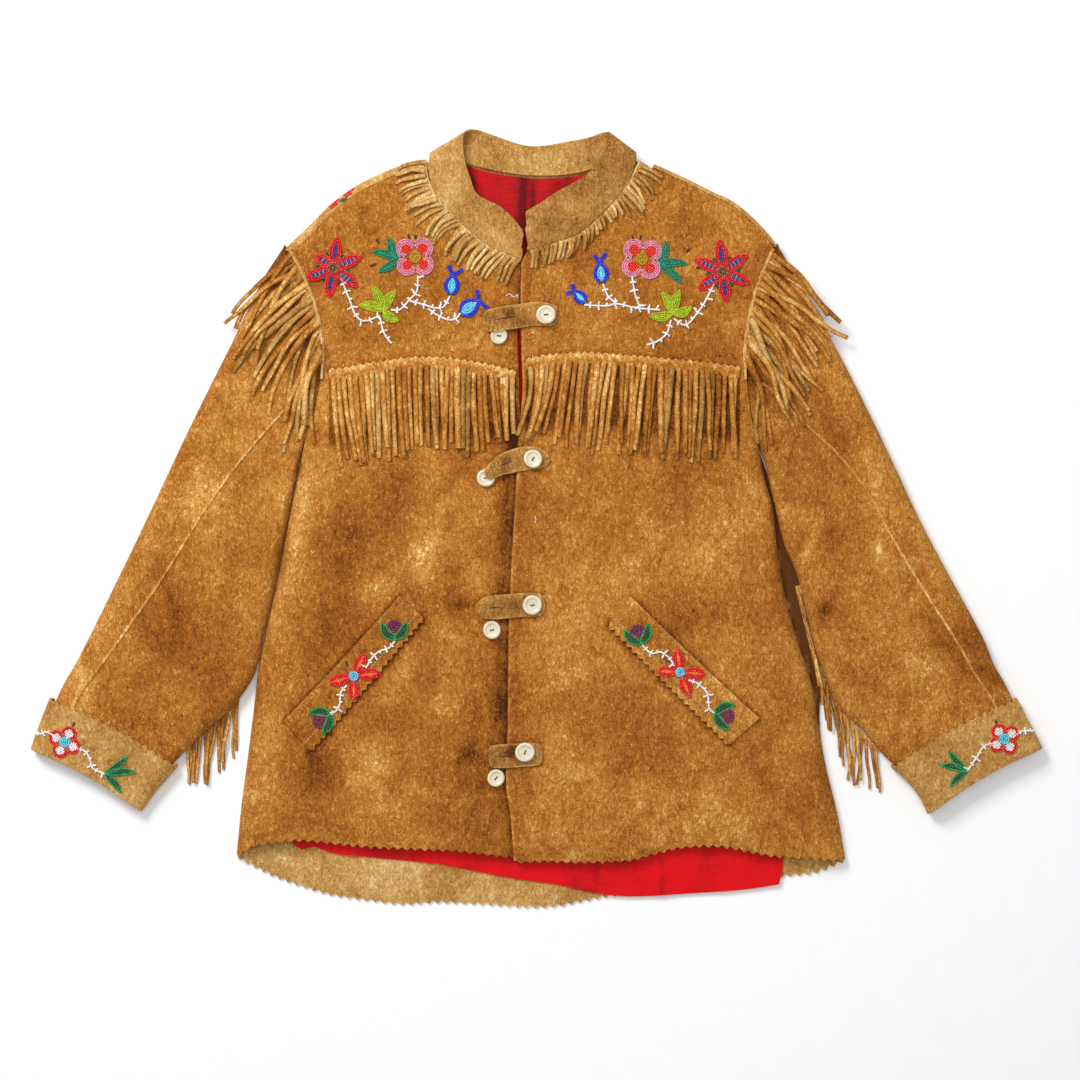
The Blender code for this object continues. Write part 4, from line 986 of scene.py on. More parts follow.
def build_shoulder(side):
    """The strip of the back that comes up over the shoulder to the front's shoulder seam."""
    edge = shoulder_line(side, 0, 70)
    edge = smooth_path(np.vstack([SHOULDER_END[side], edge[1:]]), even(74))
    inward = SIGN[side] * to_the_right(edge)
    middle = SHOULDER_TOP / 2
    along = np.interp(even(len(edge)), (0, .05), (.45, 1))[:, None]
    rows = []
    for turn in np.radians(np.linspace(90, -90, 25)):
        reach = (SHOULDER_SEAM_IN[side] if turn > 0 else SHOULDER_UNDER) * along
        plan = edge + reach * (1 - math.cos(turn)) * inward
        rows.append(np.column_stack([plan, np.full(len(edge), middle + middle * math.sin(turn))]))
    piece = Piece()
    points, faces = shell(np.array(rows), HIDE, facing=SIGN[side], level={(0, 0): 1, (0, -1): -1})
    piece.add(points, faces, tone=.03 + .06 * uneven(*points.T[:2], 22, 15))
    return piece.build(f"back_shoulder_{side}", "hide_light", [PALE_SUEDE])


def front_edges(side, shares):
    """The front's four edges: top, side, centre and hem."""
    corner = armhole(side, [SHOULDER_CORNER])
    shoulder = np.vstack([corner, shoulder_line(side, SHOULDER_SEAM_IN[side] + SEAM + .1)[:-1],
                          NECKLINE[side][:1]])
    at_shoulder = shares <= NECK_SHARE
    top = np.vstack([smooth_path(shoulder, shares[at_shoulder] / NECK_SHARE),
                     smooth_path(NECKLINE[side], (shares[~at_shoulder] - NECK_SHARE) / (1 - NECK_SHARE))])
    arm = armhole(side, np.linspace(SHOULDER_CORNER, 1, ARMHOLE_ROWS * ROW_SPLIT + 1))
    flank = smooth_path(SIDE[side], even(SIDE_ROWS * ROW_SPLIT + 1))[1:]
    beside = plateau(flank[:, 1], SIDE_SWELL_SPAN)[:, None]
    flank = flank + SIGN[side] * SIDE_SWELL * beside * to_the_right(flank)
    outer = np.vstack([arm, flank])
    centre = smooth_path(CENTRE_FRONT, even(len(outer)))
    if side == "left":
        centre[:, 0] += read(LAP, centre[:, 1])
    centre[0] = top[-1]
    hem = smooth_path(FRONT_HEM[side], shares)
    hem[0], hem[-1] = outer[-1], centre[-1]
    return top, outer, centre, hem


def cloth_relief(x, y):
    """Fine folds and unevenness common to the fronts and the sleeves."""
    relief = -troughs(x, y, FINE_FOLDS)
    for height, size, kind in CLOTH_SWELLS:
        relief += height * uneven(x, y, size, kind)
    return relief


def along_line(x, y, line, width):
    """1 on a line and falling away on both sides of it."""
    away = np.full(np.shape(x), 1e9)
    for point in smooth_path(line, even(90)):
        away = np.minimum(away, np.hypot(x - point[0], y - point[1]))
    return np.exp(-((away / width) ** 2))


def laid_shadow(side, x, y):
    """Painted shadow: how much darker the front is where the welt, the fringe strip, the tabs and the collar
    lie on it, and behind the yoke's strands.
    """
    def shadow(line, strength, reach):
        return strength * along_line(x, y, line, reach)
    corners = np.array(WELT_CORNERS[side], float)
    upper, lower = [[first, (first + last) / 2 + WELT_SAG, last]
                    for first, last in (corners[:2], corners[2:])]
    dark = shadow(upper, *WELT_TOP_SHADOW) + shadow(lower, *WELT_FOOT_SHADOW)
    yoke = np.array(FRINGE[f"fringe_yoke_{side}"]["path"], float)
    dark += shadow(yoke, *STRIP_SHADOW)
    below = read([(point[0], point[1]) for point in yoke], x) - y
    shade_behind_strands = plateau(below, SHADE_BEHIND_STRANDS_SPAN)
    dark += SHADE_BEHIND_STRANDS * shade_behind_strands * (x > yoke[0][0]) * (x < yoke[-1][0])
    dark += shadow(FRINGE[f"fringe_collar_{side}"]["path"], *COLLAR_SHADOW)
    for line in TABS:
        line = np.array(line, float)
        for aside in (-1, 1):
            dark += shadow(line + aside * TAB_WIDTH / 2 * to_the_right(line), *TAB_SHADOW)
    return dark


def build_front(side):
    """Front panel: a smooth patch between its edges, rolled down to the back along the side."""
    shares = even(FRONT_COLUMNS + 1) ** SIDE_CROWDING
    shares[np.argmin(np.abs(shares - NECK_SHARE))] = NECK_SHARE
    top, outer, centre, hem = front_edges(side, shares)
    u = shares[None, :, None]
    v = even(len(outer))[:, None, None]
    plan = (1 - v) * top[None] + v * hem[None] + (1 - u) * outer[:, None] + u * centre[:, None]
    plan -= (1 - v) * ((1 - u) * top[0] + u * top[-1]) + v * ((1 - u) * hem[0] + u * hem[-1])
    x, y = plan[..., 0], plan[..., 1]
    height = read(FRONT_HEIGHT, y) - troughs(x, y, BODY_FOLDS) + cloth_relief(x, y)
    if side == "left":
        near = np.clip(1 - np.abs(x - centre[:, None, 0]) / LAP_DIP_WIDTH, 0, 1)
        height -= LAP_DIP * eased(near) * np.interp(y, LAP_DIP_TOP, (1, 0))
    away = np.linalg.norm(plan - plan[:, :1], axis=2)
    drop = 1 - np.sqrt(1 - np.clip(1 - away / SIDE_ROLL, 0, 1) ** 2)
    below_arm = np.clip((ARMHOLE[side][1][1] - y[:, :1] + 8) / 45, 0, 1)
    height -= eased(below_arm) * (height - SIDE_EDGE_Z) * drop
    grid = raised(plan, height)
    out = unit(grid[-1, :, :2] - grid[-2, :, :2])
    grid[-1, :, :2] += TOOTH_DEPTH * tooth_wave(run_along(hem), TOOTH_PITCH)[:, None] * out
    piece = Piece()
    points, faces = shell(grid, HIDE, facing=-SIGN[side], lowest=SIDE_EDGE_Z - .05)
    x, y = points.T[:2]
    off_edge = x - read([(p[1], p[0]) for p in CENTRE_FRONT], y)
    # handling dirt and painted shade beside the opening, strongest in a narrow painted shadow on the left
    # front
    bands = sum(dark * np.exp(-(((off_edge - off) / half) ** 2)) for off, half, dark in HANDLED_AND_SHADED[side])
    handling_and_shade = bands * (1 + .5 * uneven(x, y, 16, 17))
    piece.add(points, faces, tone=stains_and_painted_light(x, y) - handling_and_shade - laid_shadow(side, x, y))
    for bit in THREAD_BITS[side]:
        line = smooth_path(bit, even(11))
        nearest = [np.argmin(np.hypot(grid[..., 0] - px, grid[..., 1] - py)) for px, py in line]
        piece.add(*ribbon(line, grid[..., 2].ravel()[nearest] + .1, np.full(11, .7), .7), paint=1)
    return piece.build(f"front_{side}", "hide", [SUEDE, WHITE_THREAD])


def sleeve_sections(side):
    """Sections along the sleeve, with the first one clear of the body."""
    table = smooth_path(SLEEVE[side], even(SLEEVE_RINGS))
    table[0, [0, 2]] -= SIGN[side] * ARMHOLE_GAP
    table[:, 2] += SIGN[side] * SIDE_SWELL * plateau(table[:, 3], SLEEVE_SWELL_SPAN)
    return table


def corner(at, across, height, rise, turns):
    """Points round a quarter ellipse from straight above its centre to straight beside it."""
    return [(at + across * math.sin(a), height + rise * math.cos(a)) for a in turns]


def corner_from_side(at, across, height, rise, turns):
    """Points round a quarter ellipse from straight beside its centre to straight above or below it."""
    return [(at + across * math.cos(a), height + rise * math.sin(a)) for a in turns]


def half_contours(width, seam, low, high, under_gap):
    """The sleeve's outline from its two cut pieces, as distance from the outer edge and height."""
    middle = low + MIDDLE_SHARE * (high - low)
    turns = np.radians(np.linspace(0, 90, 9)[1:])
    seam_at = seam * width
    front = [(s, high) for s in np.linspace(seam_at + SEAM / 2, width - OUTER_ROLL, 40)]
    front += corner(width - OUTER_ROLL, OUTER_ROLL, middle, high - middle, turns)
    front += corner_from_side(width - INNER_ROLL, INNER_ROLL, middle, low - middle, turns)
    back = [(s, high) for s in np.linspace(seam_at - SEAM / 2, OUTER_ROLL, 26)]
    back += corner(OUTER_ROLL, -OUTER_ROLL, middle, high - middle, turns)
    back += corner_from_side(OUTER_ROLL, -OUTER_ROLL, middle, low - middle, turns)
    back += [(s, low) for s in np.linspace(OUTER_ROLL, width - INNER_ROLL - under_gap, 18)[1:]]
    return front, back


def place_contour(contour, section, side, fold):
    """Plan and height of a contour across one section."""
    start, end, bow = section[:2], section[2:4], section[4]
    contour = np.array(contour)
    plan = bowed(start, end, bow * SIGN[side], contour[:, 0] / np.linalg.norm(end - start))
    height = contour[:, 1].copy()
    upper = np.clip((height / section[7] - .72) / .25, 0, 1) * fold
    x, y = plan.T
    height += upper * (cloth_relief(x, y) - troughs(x, y, SLEEVE_FOLDS))
    return np.column_stack([plan, height])


def build_sleeve(side):
    """Each sleeve is a flattened tube of two cut pieces, joined by a front seam and an under seam."""
    front_rows, back_rows = [], []
    sections = sleeve_sections(side)
    chords = unit(sections[:, 2:4] - sections[:, :2])
    inner_runs = unit(np.gradient(sections[:, 2:4], axis=0))
    slants = np.abs(chords[:, 0] * inner_runs[:, 1] - chords[:, 1] * inner_runs[:, 0])
    for share, slant, section in zip(even(len(sections)), slants, sections):
        width = np.linalg.norm(section[2:4] - section[:2])
        low = max(section[6], 0)
        front, back = half_contours(width, section[5], low, section[7], 2 * SEAM / max(slant, .12))
        fold = np.clip(share / FOLD_FADE, 0, 1) * np.clip((FOLD_END - share) / FOLD_FADE, 0, 1)
        front_rows.append(place_contour(front, section, side, fold))
        back_rows.append(place_contour(back, section, side, fold))
    seams = {(1, 0): 1, (1, -1): -1}
    made = []
    for half, rows, facing in (("front", front_rows, -SIGN[side]), ("back", back_rows, SIGN[side])):
        piece = Piece()
        points, faces = shell(np.array(rows), HIDE, facing=facing, lowest=UNDER_EDGE, level=seams)
        x, y = points.T[:2]
        reach, strength = UNDER_ARM_FRINGE
        shade = strength * along_line(x, y, armhole(side, np.linspace(*ARMHOLE_FRINGE_SPAN, 9)), reach)
        piece.add(points, faces, tone=stains_and_painted_light(x, y) + (.02 if half == "back" else 0) - shade)
        if half == "front":
            seam = np.array(front_rows)[4:-4, 0]
            path = smooth_path(seam, even(90))
            widths = 2.8 + .7 * uneven(*path.T[:2], 18, 3)
            piece.add(*ribbon(path[:, :2], path[:, 2] - .35, widths, 1.5), tone=.16)
        made.append(piece.build(f"sleeve_{half}_{side}", "hide", [SUEDE]))
    return made


def build_cuff(side):
    """The turned-back cuff round the sleeve's end, pinked along its upper edge."""
    middle = MIDDLE_SHARE * CUFF_TOP
    turns = np.radians(np.linspace(0, 90, 10)[1:-1])
    rows = []
    for section in smooth_path(CUFF[side], even(CUFF_ROWS)):
        width = np.linalg.norm(section[2:] - section[:2])
        far = width - OUTER_ROLL
        ring = [(s, CUFF_TOP) for s in np.linspace(OUTER_ROLL, far, 61)]
        ring += corner(far, OUTER_ROLL, middle, CUFF_TOP - middle, turns)
        ring += [(width, middle)]
        ring += corner_from_side(far, OUTER_ROLL, middle, -middle, turns)
        ring += [(s, 0) for s in np.linspace(far, OUTER_ROLL, 30)]
        ring += corner(OUTER_ROLL, -OUTER_ROLL, middle, -middle, turns)
        ring += [(0, middle)]
        ring += corner_from_side(OUTER_ROLL, -OUTER_ROLL, middle, CUFF_TOP - middle, turns)
        ring = np.array(ring)
        plan = bowed(section[:2], section[2:], CUFF_BOW * SIGN[side], ring[:, 0] / width)
        top = ring[:, 1] + np.clip(ring[:, 1] / CUFF_TOP - .9, 0, 1) * 9 * (.35 + .5 * uneven(*plan.T, 24, 5))
        rows.append(np.column_stack([plan, np.maximum(top, 0)]))
    grid = np.array(rows)
    out = unit(grid[-1] - grid[-2])
    grid[-1] += TOOTH_DEPTH * tooth_wave(run_along(grid[-1]), TOOTH_PITCH)[:, None] * out
    under = np.clip(1 - grid[:5, :, 2] / middle, 0, 1) * np.linspace(1, 0, 5)[:, None]
    grid[:5] -= CUFF_TUCK * under[..., None] * out
    piece = Piece()
    points, faces = shell(grid, HIDE, facing=SIGN[side], lowest=0, closed=True)
    piece.add(points, faces, tone=.5 * stains_and_painted_light(*points.T[:2]))
    return piece.build(f"cuff_{side}", "hide_light", [PALE_SUEDE])


def build_collar(ground):
    """Standing collar laid down: a band round the neck, folded at both sides, with roughly cut ends."""
    table = np.array(COLLAR, float)
    seam, free = table[:, :3].copy(), table[:, 3:6]
    seam[:, :2] += table[:, 6:7] * COLLAR_LAP * unit(seam[:, :2] - free[:, :2])
    for row, lapped in zip(seam, table[:, 6]):
        if lapped:
            row[2] = ground.top(row[0], row[1], COLLAR_CLEARS) + SEAM + HIDE
    both = smooth_path(np.hstack([seam, free]), even(COLLAR_RINGS))
    share = even(COLLAR_COLUMNS)[None, :, None]
    grid = (1 - share) * both[:, None, :3] + share * both[:, None, 3:]
    ragged = np.array([.9 * vary(k // 2, 21) for k in range(COLLAR_COLUMNS)])
    grid[0, :, 0] += ragged
    grid[-1, :, 0] += ragged[::-1] + .6
    x, y = grid[..., 0], grid[..., 1]
    crown = np.sin(np.pi * share[..., 0]) * (.5 + .5 * uneven(x, y, 22, 6))
    grid[..., 2] += crown * np.clip((both[:, None, 2] - 8) / 6, .3, 1)
    piece = Piece()
    points, faces = shell(grid, HIDE)
    mottle = .08 * uneven(*points.T[:2], 26, 8)
    inside = np.clip((8 - points[:, 2]) / 2, 0, 1)
    darker_side = .12 * np.clip((points[:, 0] + 8) / 20, 0, 1) * (1 - inside)
    piece.add(points, faces, tone=-.02 + mottle + .08 * inside - darker_side)
    return piece.build("collar", "hide_light", [PALE_SUEDE])


def stitches(piece, path, low, pitch, length, width, paint):
    """A line of short stitches along a path."""
    run = run_along(path)
    for start in np.arange(pitch / 2, run[-1] - length, pitch):
        at = start + np.array([0, .2, .5, .8, 1]) * length
        mark = spots(path, run, at)
        base = np.interp(at, run, low) - np.array([.55, .1, 0, .1, .55])
        piece.add(*ribbon(mark, base, width * np.array([.6, 1, 1, 1, .6]), width * .6), paint=paint)


WELT_ROWS = 13
WELT_COLUMNS = 171


def build_welt(side, ground):
    """Pocket welt: its plain upper edge stands a little open, and its lower edge is pinked and sewn down."""
    corners = np.array(WELT_CORNERS[side], float)
    across, down = even(WELT_COLUMNS)[None, :, None], even(WELT_ROWS)[:, None, None]
    upper, lower = [(1 - across) * first + across * last for first, last in (corners[:2], corners[2:])]
    plan = (1 - down) * upper + down * lower
    plan = plan + np.sin(np.pi * across) * np.array(WELT_SAG) * (1 - .4 * down)
    height = np.array([[ground.top(x, y, 4) + SEAM + WELT for x, y in row] for row in plan])
    height += 1.5 * (1 - down[..., 0]) ** 3 + .35 * down[..., 0] ** 8
    grid = raised(plan, height)
    out = unit(grid[-1] - grid[-3])
    run = run_along(grid[-1])
    teeth = round(run[-1] / WELT_TOOTH_PITCH)
    grid[-1] += WELT_TOOTH_DEPTH * tooth_wave(run, run[-1] / teeth)[:, None] * out
    piece = Piece()
    points, faces = shell(grid, WELT, upright=True)
    pale = np.repeat(down[:, 0, 0], grid.shape[1])
    tone = .7 * stains_and_painted_light(*points.T[:2]) + .06 * uneven(*points.T[:2], 20, 11)
    tone[:len(pale)] += .05 * pale**6 + .10 * (1 - pale) ** 8
    tone[2 * len(pale):] -= .25
    piece.add(points, faces, tone=tone)
    sewn = grid[-4] * .6 + grid[-3] * .4
    stitches(piece, sewn[:, :2], sewn[:, 2] - .1, 3.4, 2.3, .9, 1)
    return piece.build(f"welt_{side}", "hide", [SUEDE, SINEW])


def lathe(rings, sides):
    """Points and faces of a round body from rings of (radius, height)."""
    turn = np.linspace(0, 2 * np.pi, sides, endpoint=False)
    points = [(r * math.cos(a), r * math.sin(a), z) for r, z in rings for a in turn]
    return np.array(points), tube(len(rings), sides)


# Button section from the middle of its underside to the middle of its recess.
# Columns: share of the radius, share of the thickness
BUTTON_SECTION = [(.3, 0), (.78, 0), (.92, .1), (.99, .32), (1, .55), (.97, .78), (.9, .94), (.82, 1),
                  (.74, .98), (.66, .86), (.6, .72), (.5, .66), (.25, .64)]
# Rim of thread round a hole. Columns: radius, height
BUTTON_HOLE = [(.02, .02), (.62, .02), (.8, .08), (.75, .14), (.5, .1), (.02, .06)]
HOLE_OFF = 1.6  # distance of a hole from the button's middle


def build_button(index, ground):
    """A two-hole button with a raised rim and a thread bar in its recess."""
    x, y, radius, _ = BUTTONS[index]
    low = ground.top(x, y, radius) + SEAM
    piece = Piece()
    points, faces = lathe([(r * radius, z * BUTTON_THICKNESS) for r, z in BUTTON_SECTION], 48)
    points[:, :2] *= 1 + .02 * np.sin(2 * np.arctan2(points[:, 1], points[:, 0]) + index)[:, None]
    place = np.array([x, y, low])
    piece.add(points + place, faces)
    ahead = towards(math.radians(35 + 40 * vary(index, 5)))
    floor_z = low + .64 * BUTTON_THICKNESS
    for way in (-1, 1):
        hole, hole_faces = lathe(BUTTON_HOLE, 16)
        piece.add(hole + [*(place[:2] + way * HOLE_OFF * ahead), floor_z], hole_faces, paint=1)
    for aside in (-.3, .3):
        across = leftward(ahead) * aside
        path = place[:2] + across + np.linspace(-1.9, 1.9, 7)[:, None] * ahead
        bar = floor_z + .05 + .35 * np.array([0, .7, 1, 1, 1, .7, 0])
        piece.add(*ribbon(path, bar, np.full(7, .5), .5), paint=1)
    return piece.build(f"button_{index + 1}", "button", [CREAM, DARK_THREAD])


# The tabs' half widths along them, from the loop end. Columns: share of the length, half width
TAB_SHAPES = [
    [(0, 7), (.02, 9.5), (.06, 11), (.2, 11.6), (.8, 11.5), (.93, 10.6), (.98, 8.6), (1, 6)],
    [(0, 3), (.03, 5), (.12, 7), (.35, 10.5), (.6, 11.6), (.8, 10.5), (.93, 7), (.98, 4), (1, 1.5)],
    [(0, 4), (.03, 7.5), (.08, 10), (.2, 11.6), (.8, 11.5), (.93, 10.4), (.98, 8), (1, 5.5)],
    [(0, 7), (.02, 9.5), (.06, 11), (.2, 11.5), (.8, 11.4), (.93, 10.4), (.98, 8), (1, 5.5)],
]
# Dark marks on the tabs; the first is painted shade on tab 4 between its folded-down flap and its button.
# Columns: x, y, reach, strength
TAB_STAINS_AND_SHADE = [(-24, -231, 6, .55), (-28, 205, 6, .12), (-8, 196, 8, .12), (-30, 60, 6, .14),
              (-20, -86, 7, .10)]
# The slit of each tab. Columns: first and last share of its length
TAB_SLITS = [(.14, .46), (.24, .44), (.16, .34), (.16, .42)]


TAB_ROWS = 13
TAB_COLUMNS = 61
TAB_CALM = 4  # columns on either side over which the tab's height is evened out


def build_tab(index, ground):
    """A hide strap across the front opening, with a slit for its button at the left end."""
    run = even(TAB_COLUMNS)
    line = smooth_path(TABS[index], run)
    side = to_the_right(line)
    half = read(TAB_SHAPES[index], run)
    share = np.linspace(-1, 1, TAB_ROWS)[:, None, None]
    plan = line[None] + share * half[None, :, None] * side[None]
    low = np.array([[ground.top(x, y, 4) for x, y in row] for row in plan])
    spread = np.array([low[:, max(k - TAB_CALM, 0):k + TAB_CALM + 1].max() for k in range(TAB_COLUMNS)])
    window = 2 * TAB_CALM + 1
    calm = np.convolve(np.pad(spread, TAB_CALM, mode="edge"), np.ones(window) / window, mode="valid")
    height = np.maximum(low.max(0), calm)[None] + SEAM + WELT + 0 * low
    height += .25 * uneven(plan[..., 0], plan[..., 1], 12, 13) - .5 * share[..., 0] ** 4
    grid = raised(plan, height)
    piece = Piece()
    points, faces = shell(grid, WELT, upright=True)
    border = np.abs(np.broadcast_to(share[..., 0], low.shape)).ravel() ** 8
    tone = np.full(len(points), -.16) + .08 * uneven(*points.T[:2], 9, 14)
    # dark marks, the first of them painted shade by tab 4's flap
    for x0, y0, reach, strength in TAB_STAINS_AND_SHADE:
        tone -= strength * np.exp(-(np.hypot(points[:, 0] - x0, points[:, 1] - y0) / reach) ** 2)
    tone[:len(border)] += .20 * border
    tone[2 * len(border):] += .25
    piece.add(points, faces, tone=tone)
    first, last = TAB_SLITS[index]
    slit = smooth_path(np.column_stack([line, height[TAB_ROWS // 2]]), np.linspace(first, last, 17))
    widths = 1.7 * np.sin(np.linspace(.25, np.pi - .25, 17))
    piece.add(*ribbon(slit[:, :2], slit[:, 2] - .25, widths, .32), paint=1)
    return piece.build(f"tab_{index + 1}", "hide", [PALE_SUEDE, DARK_THREAD])


def strand_path(root, heading, length, curl, sway, steps):
    """A strand's plan path: it turns by curl degrees along its length, and sways a little."""
    step = length / steps
    points = [np.array(root, float)]
    for k in range(steps):
        share = (k + .5) / steps
        turn = math.radians(heading + curl * share + sway * math.sin(2.6 * math.pi * share))
        points.append(points[-1] + step * towards(turn))
    return np.array(points)


STRIP_ROWS = 6  # across the backing that the strands hang from
STRIP_STEP = 1.2
STRIP_TOOTH_PITCH = 7


def build_fringe(name, relief, path, count, strip, tooth, width, curl, stray, aim, length, taper, shade, pale,
                 slot="hide", finish=None, piping=None, seed=1):
    """Strands from one narrow strip, each laid over those before it."""
    finish = finish or [SUEDE, PALE_SUEDE]
    piece = Piece()
    run = run_along(smooth_path(path, even(60)))[-1]
    columns = max(int(run / STRIP_STEP), 24)
    top = smooth_path(path, even(columns))
    out = to_the_right(top)
    rows = []
    for k, down in enumerate(even(STRIP_ROWS)):
        line = top + strip * down * out
        if k == 0:
            line = line - tooth * tooth_wave(run_along(top), STRIP_TOOTH_PITCH)[:, None] * out
        low = settle(line, relief, 2)
        rows.append(np.column_stack([line, low + TRIM]))
    grid = np.array(rows)
    points, faces = shell(grid, TRIM, upright=True)
    at_top = np.repeat((1 - even(STRIP_ROWS)) ** 2, columns)
    tone = shade + .08 + .08 * uneven(*points.T[:2], 18, seed)
    tone[:len(at_top)] += .20 * at_top
    tone[2 * len(at_top):] += .22
    piece.add(points, faces, tone=tone)
    if piping is not None:
        low = settle(piping, relief, 2) + TRIM - .3
        swell = PIPING_WIDTH * (1 + .12 * uneven(*piping.T, 7, 19))
        piece.add(*ribbon(piping, low, swell, 1.7), paint=1, tone=.26 + .10 * vary(seed, 2))
    order = sorted(range(count), key=lambda k: vary(k, seed + 3))
    for index in order:
        share = (index + .5 + .2 * vary(index, seed + 4)) / count
        root = smooth_path(top, [share])[0] + (strip - 1.5) * smooth_path(out, [share])[0]
        heading = read(aim, share) + stray * vary(index, seed + 5)
        reach = read(length, share) * (1 + .09 * vary(index, seed + 6))
        turn = read(curl, share) * (.65 + .35 * vary(index // 4, seed + 7))
        turn += .8 * stray * vary(index, seed + 8)
        broad = width[0] + (width[1] - width[0]) * (.5 + .5 * vary(index, seed + 9))
        steps = max(int(reach / STRAND_STEP), 5)
        line = strand_path(root, heading, reach, turn, .9 * stray * vary(index, seed + 10), steps)
        line = np.vstack([root - 1.2 * unit(line[1] - line[0]), line])
        edge = settle(smooth_path(top + (strip - 1) * out, [share]), relief, 2)[0]
        low = settle(line, relief, broad / 2, start=edge)
        marks = np.linspace(0, 1, len(line))
        pinch = 1 - .14 * np.abs(np.sin(3.1 * marks * (1 + vary(index, 12))))
        widths = broad * (1 - taper * marks**1.5) * pinch
        strand, strand_faces = ribbon(line, low, widths, TRIM)
        around = len(RIBBON_PROFILE)
        tone = shade + .12 * vary(index, seed + 11) + .09 * uneven(*np.repeat(line, around, 0).T, 16, seed)
        # painted shade on the strand's sides and underside, painted highlight on its top middle
        tone += .08 * np.repeat(1 - marks, around) - STRAND_SIDE_SHADE * np.tile(RIBBON_SHADE, len(line))
        pale_one = vary(index, seed + 12) > 1 - 2 * pale
        piece.add(strand, strand_faces, paint=1 if pale_one else 0, tone=tone - (.12 if pale_one else 0))
        for (x, y), z, wide in zip(line[2:], low[2:], widths[2:]):
            relief.stamp(x, y, max(wide / 2 - .6, 1), z + TRIM)
        for (x, y), z in zip((line[2:-1] + line[3:]) / 2, (low[2:-1] + low[3:]) / 2):
            relief.stamp(x, y, 1, z + TRIM)
    return piece.build(name, slot, finish)


def build_armhole_fringe(side, relief):
    """Fringe set in the armhole seam, falling over the sleeve, with the seam's pale piping."""
    edge = armhole(side, np.linspace(*ARMHOLE_FRINGE_SPAN, 9))
    outward = SIGN[side] * to_the_right(edge)
    path = edge - ARMHOLE_FRINGE_IN * outward
    if side == "right":
        path = path[::-1]
    seam = armhole(side, np.linspace(*PIPING_SPAN, 90))
    seam = seam - SIGN[side] * PIPING_IN * to_the_right(seam)
    return build_fringe(f"fringe_armhole_{side}", relief, path=path, piping=seam, seed=31 + SIGN[side],
                        **ARMHOLE_FRINGE, **ARMHOLE_FRINGE_SIDES[side])


def build_sleeve_fringe(side, relief):
    """Fringe set in the under seam, showing past the sleeve's inner edge."""
    rings = sleeve_sections(side)[::-1, 2:4]
    sizes = dict(SLEEVE_FRINGE_SIDES[side])
    heights = np.linspace(*sizes.pop("span"), 6)
    edge = np.column_stack([np.interp(heights, rings[:, 1], rings[:, 0]), heights])
    path = edge - sizes.pop("under") * to_the_right(edge)
    return build_fringe(f"fringe_sleeve_{side}", relief, path=path, seed=51 + SIGN[side],
                        **sizes, **SLEEVE_FRINGE)


BEAD_WIDTH = 2.3
BEAD_LENGTH = 1.5
LANE = 2.05  # distance between neighbouring lanes of beads
LOWEST_BEAD = 8.0  # beads are sewn only where the hide lies higher than this
# Bead section along its hole. Columns: share of half the width, share of the length
BEAD_SECTION = [(.45, -.5), (1, -.2), (1, .2), (.45, .5)]
BEAD_SIDES = 6
LOBES = 4  # lobes of a round flower
STAR_PETAL = 12.5  # width of a star's petals
THISTLE = 13.0  # height of a thistle's dome
GLASS = {
    "red": (228, 22, 36), "scarlet": (246, 56, 36), "orange": (248, 110, 34), "pink": (226, 142, 168),
    "gold": (196, 148, 18), "brown": (120, 84, 44), "indigo": (58, 66, 132), "steel": (120, 138, 176),
    "royal": (38, 54, 206), "sky": (112, 206, 236), "white": (255, 255, 252), "teal": (10, 132, 96),
    "moss": (28, 84, 48), "lime": (172, 188, 22), "green": (26, 150, 76), "plum": (124, 44, 84),
    "ink": (46, 34, 40),
}


def glass_finish(colour):
    """Opaque glass whose colour varies a little from bead to bead."""
    made = Finish(f"bead_{colour}", Roughness=0.2, Specular_IOR_Level=0.5, Coat_Weight=0.3,
                  Coat_Roughness=0.1)
    darker = [c * .88 for c in GLASS[colour]]
    lighter = [min(c * 1.08 + 6, 255) for c in GLASS[colour]]
    batch = made.grain(420, 1)
    return made.finish(made.ramp(batch, [(.32, darker), (.68, lighter)]), normal=made.bumps((batch, .05)))


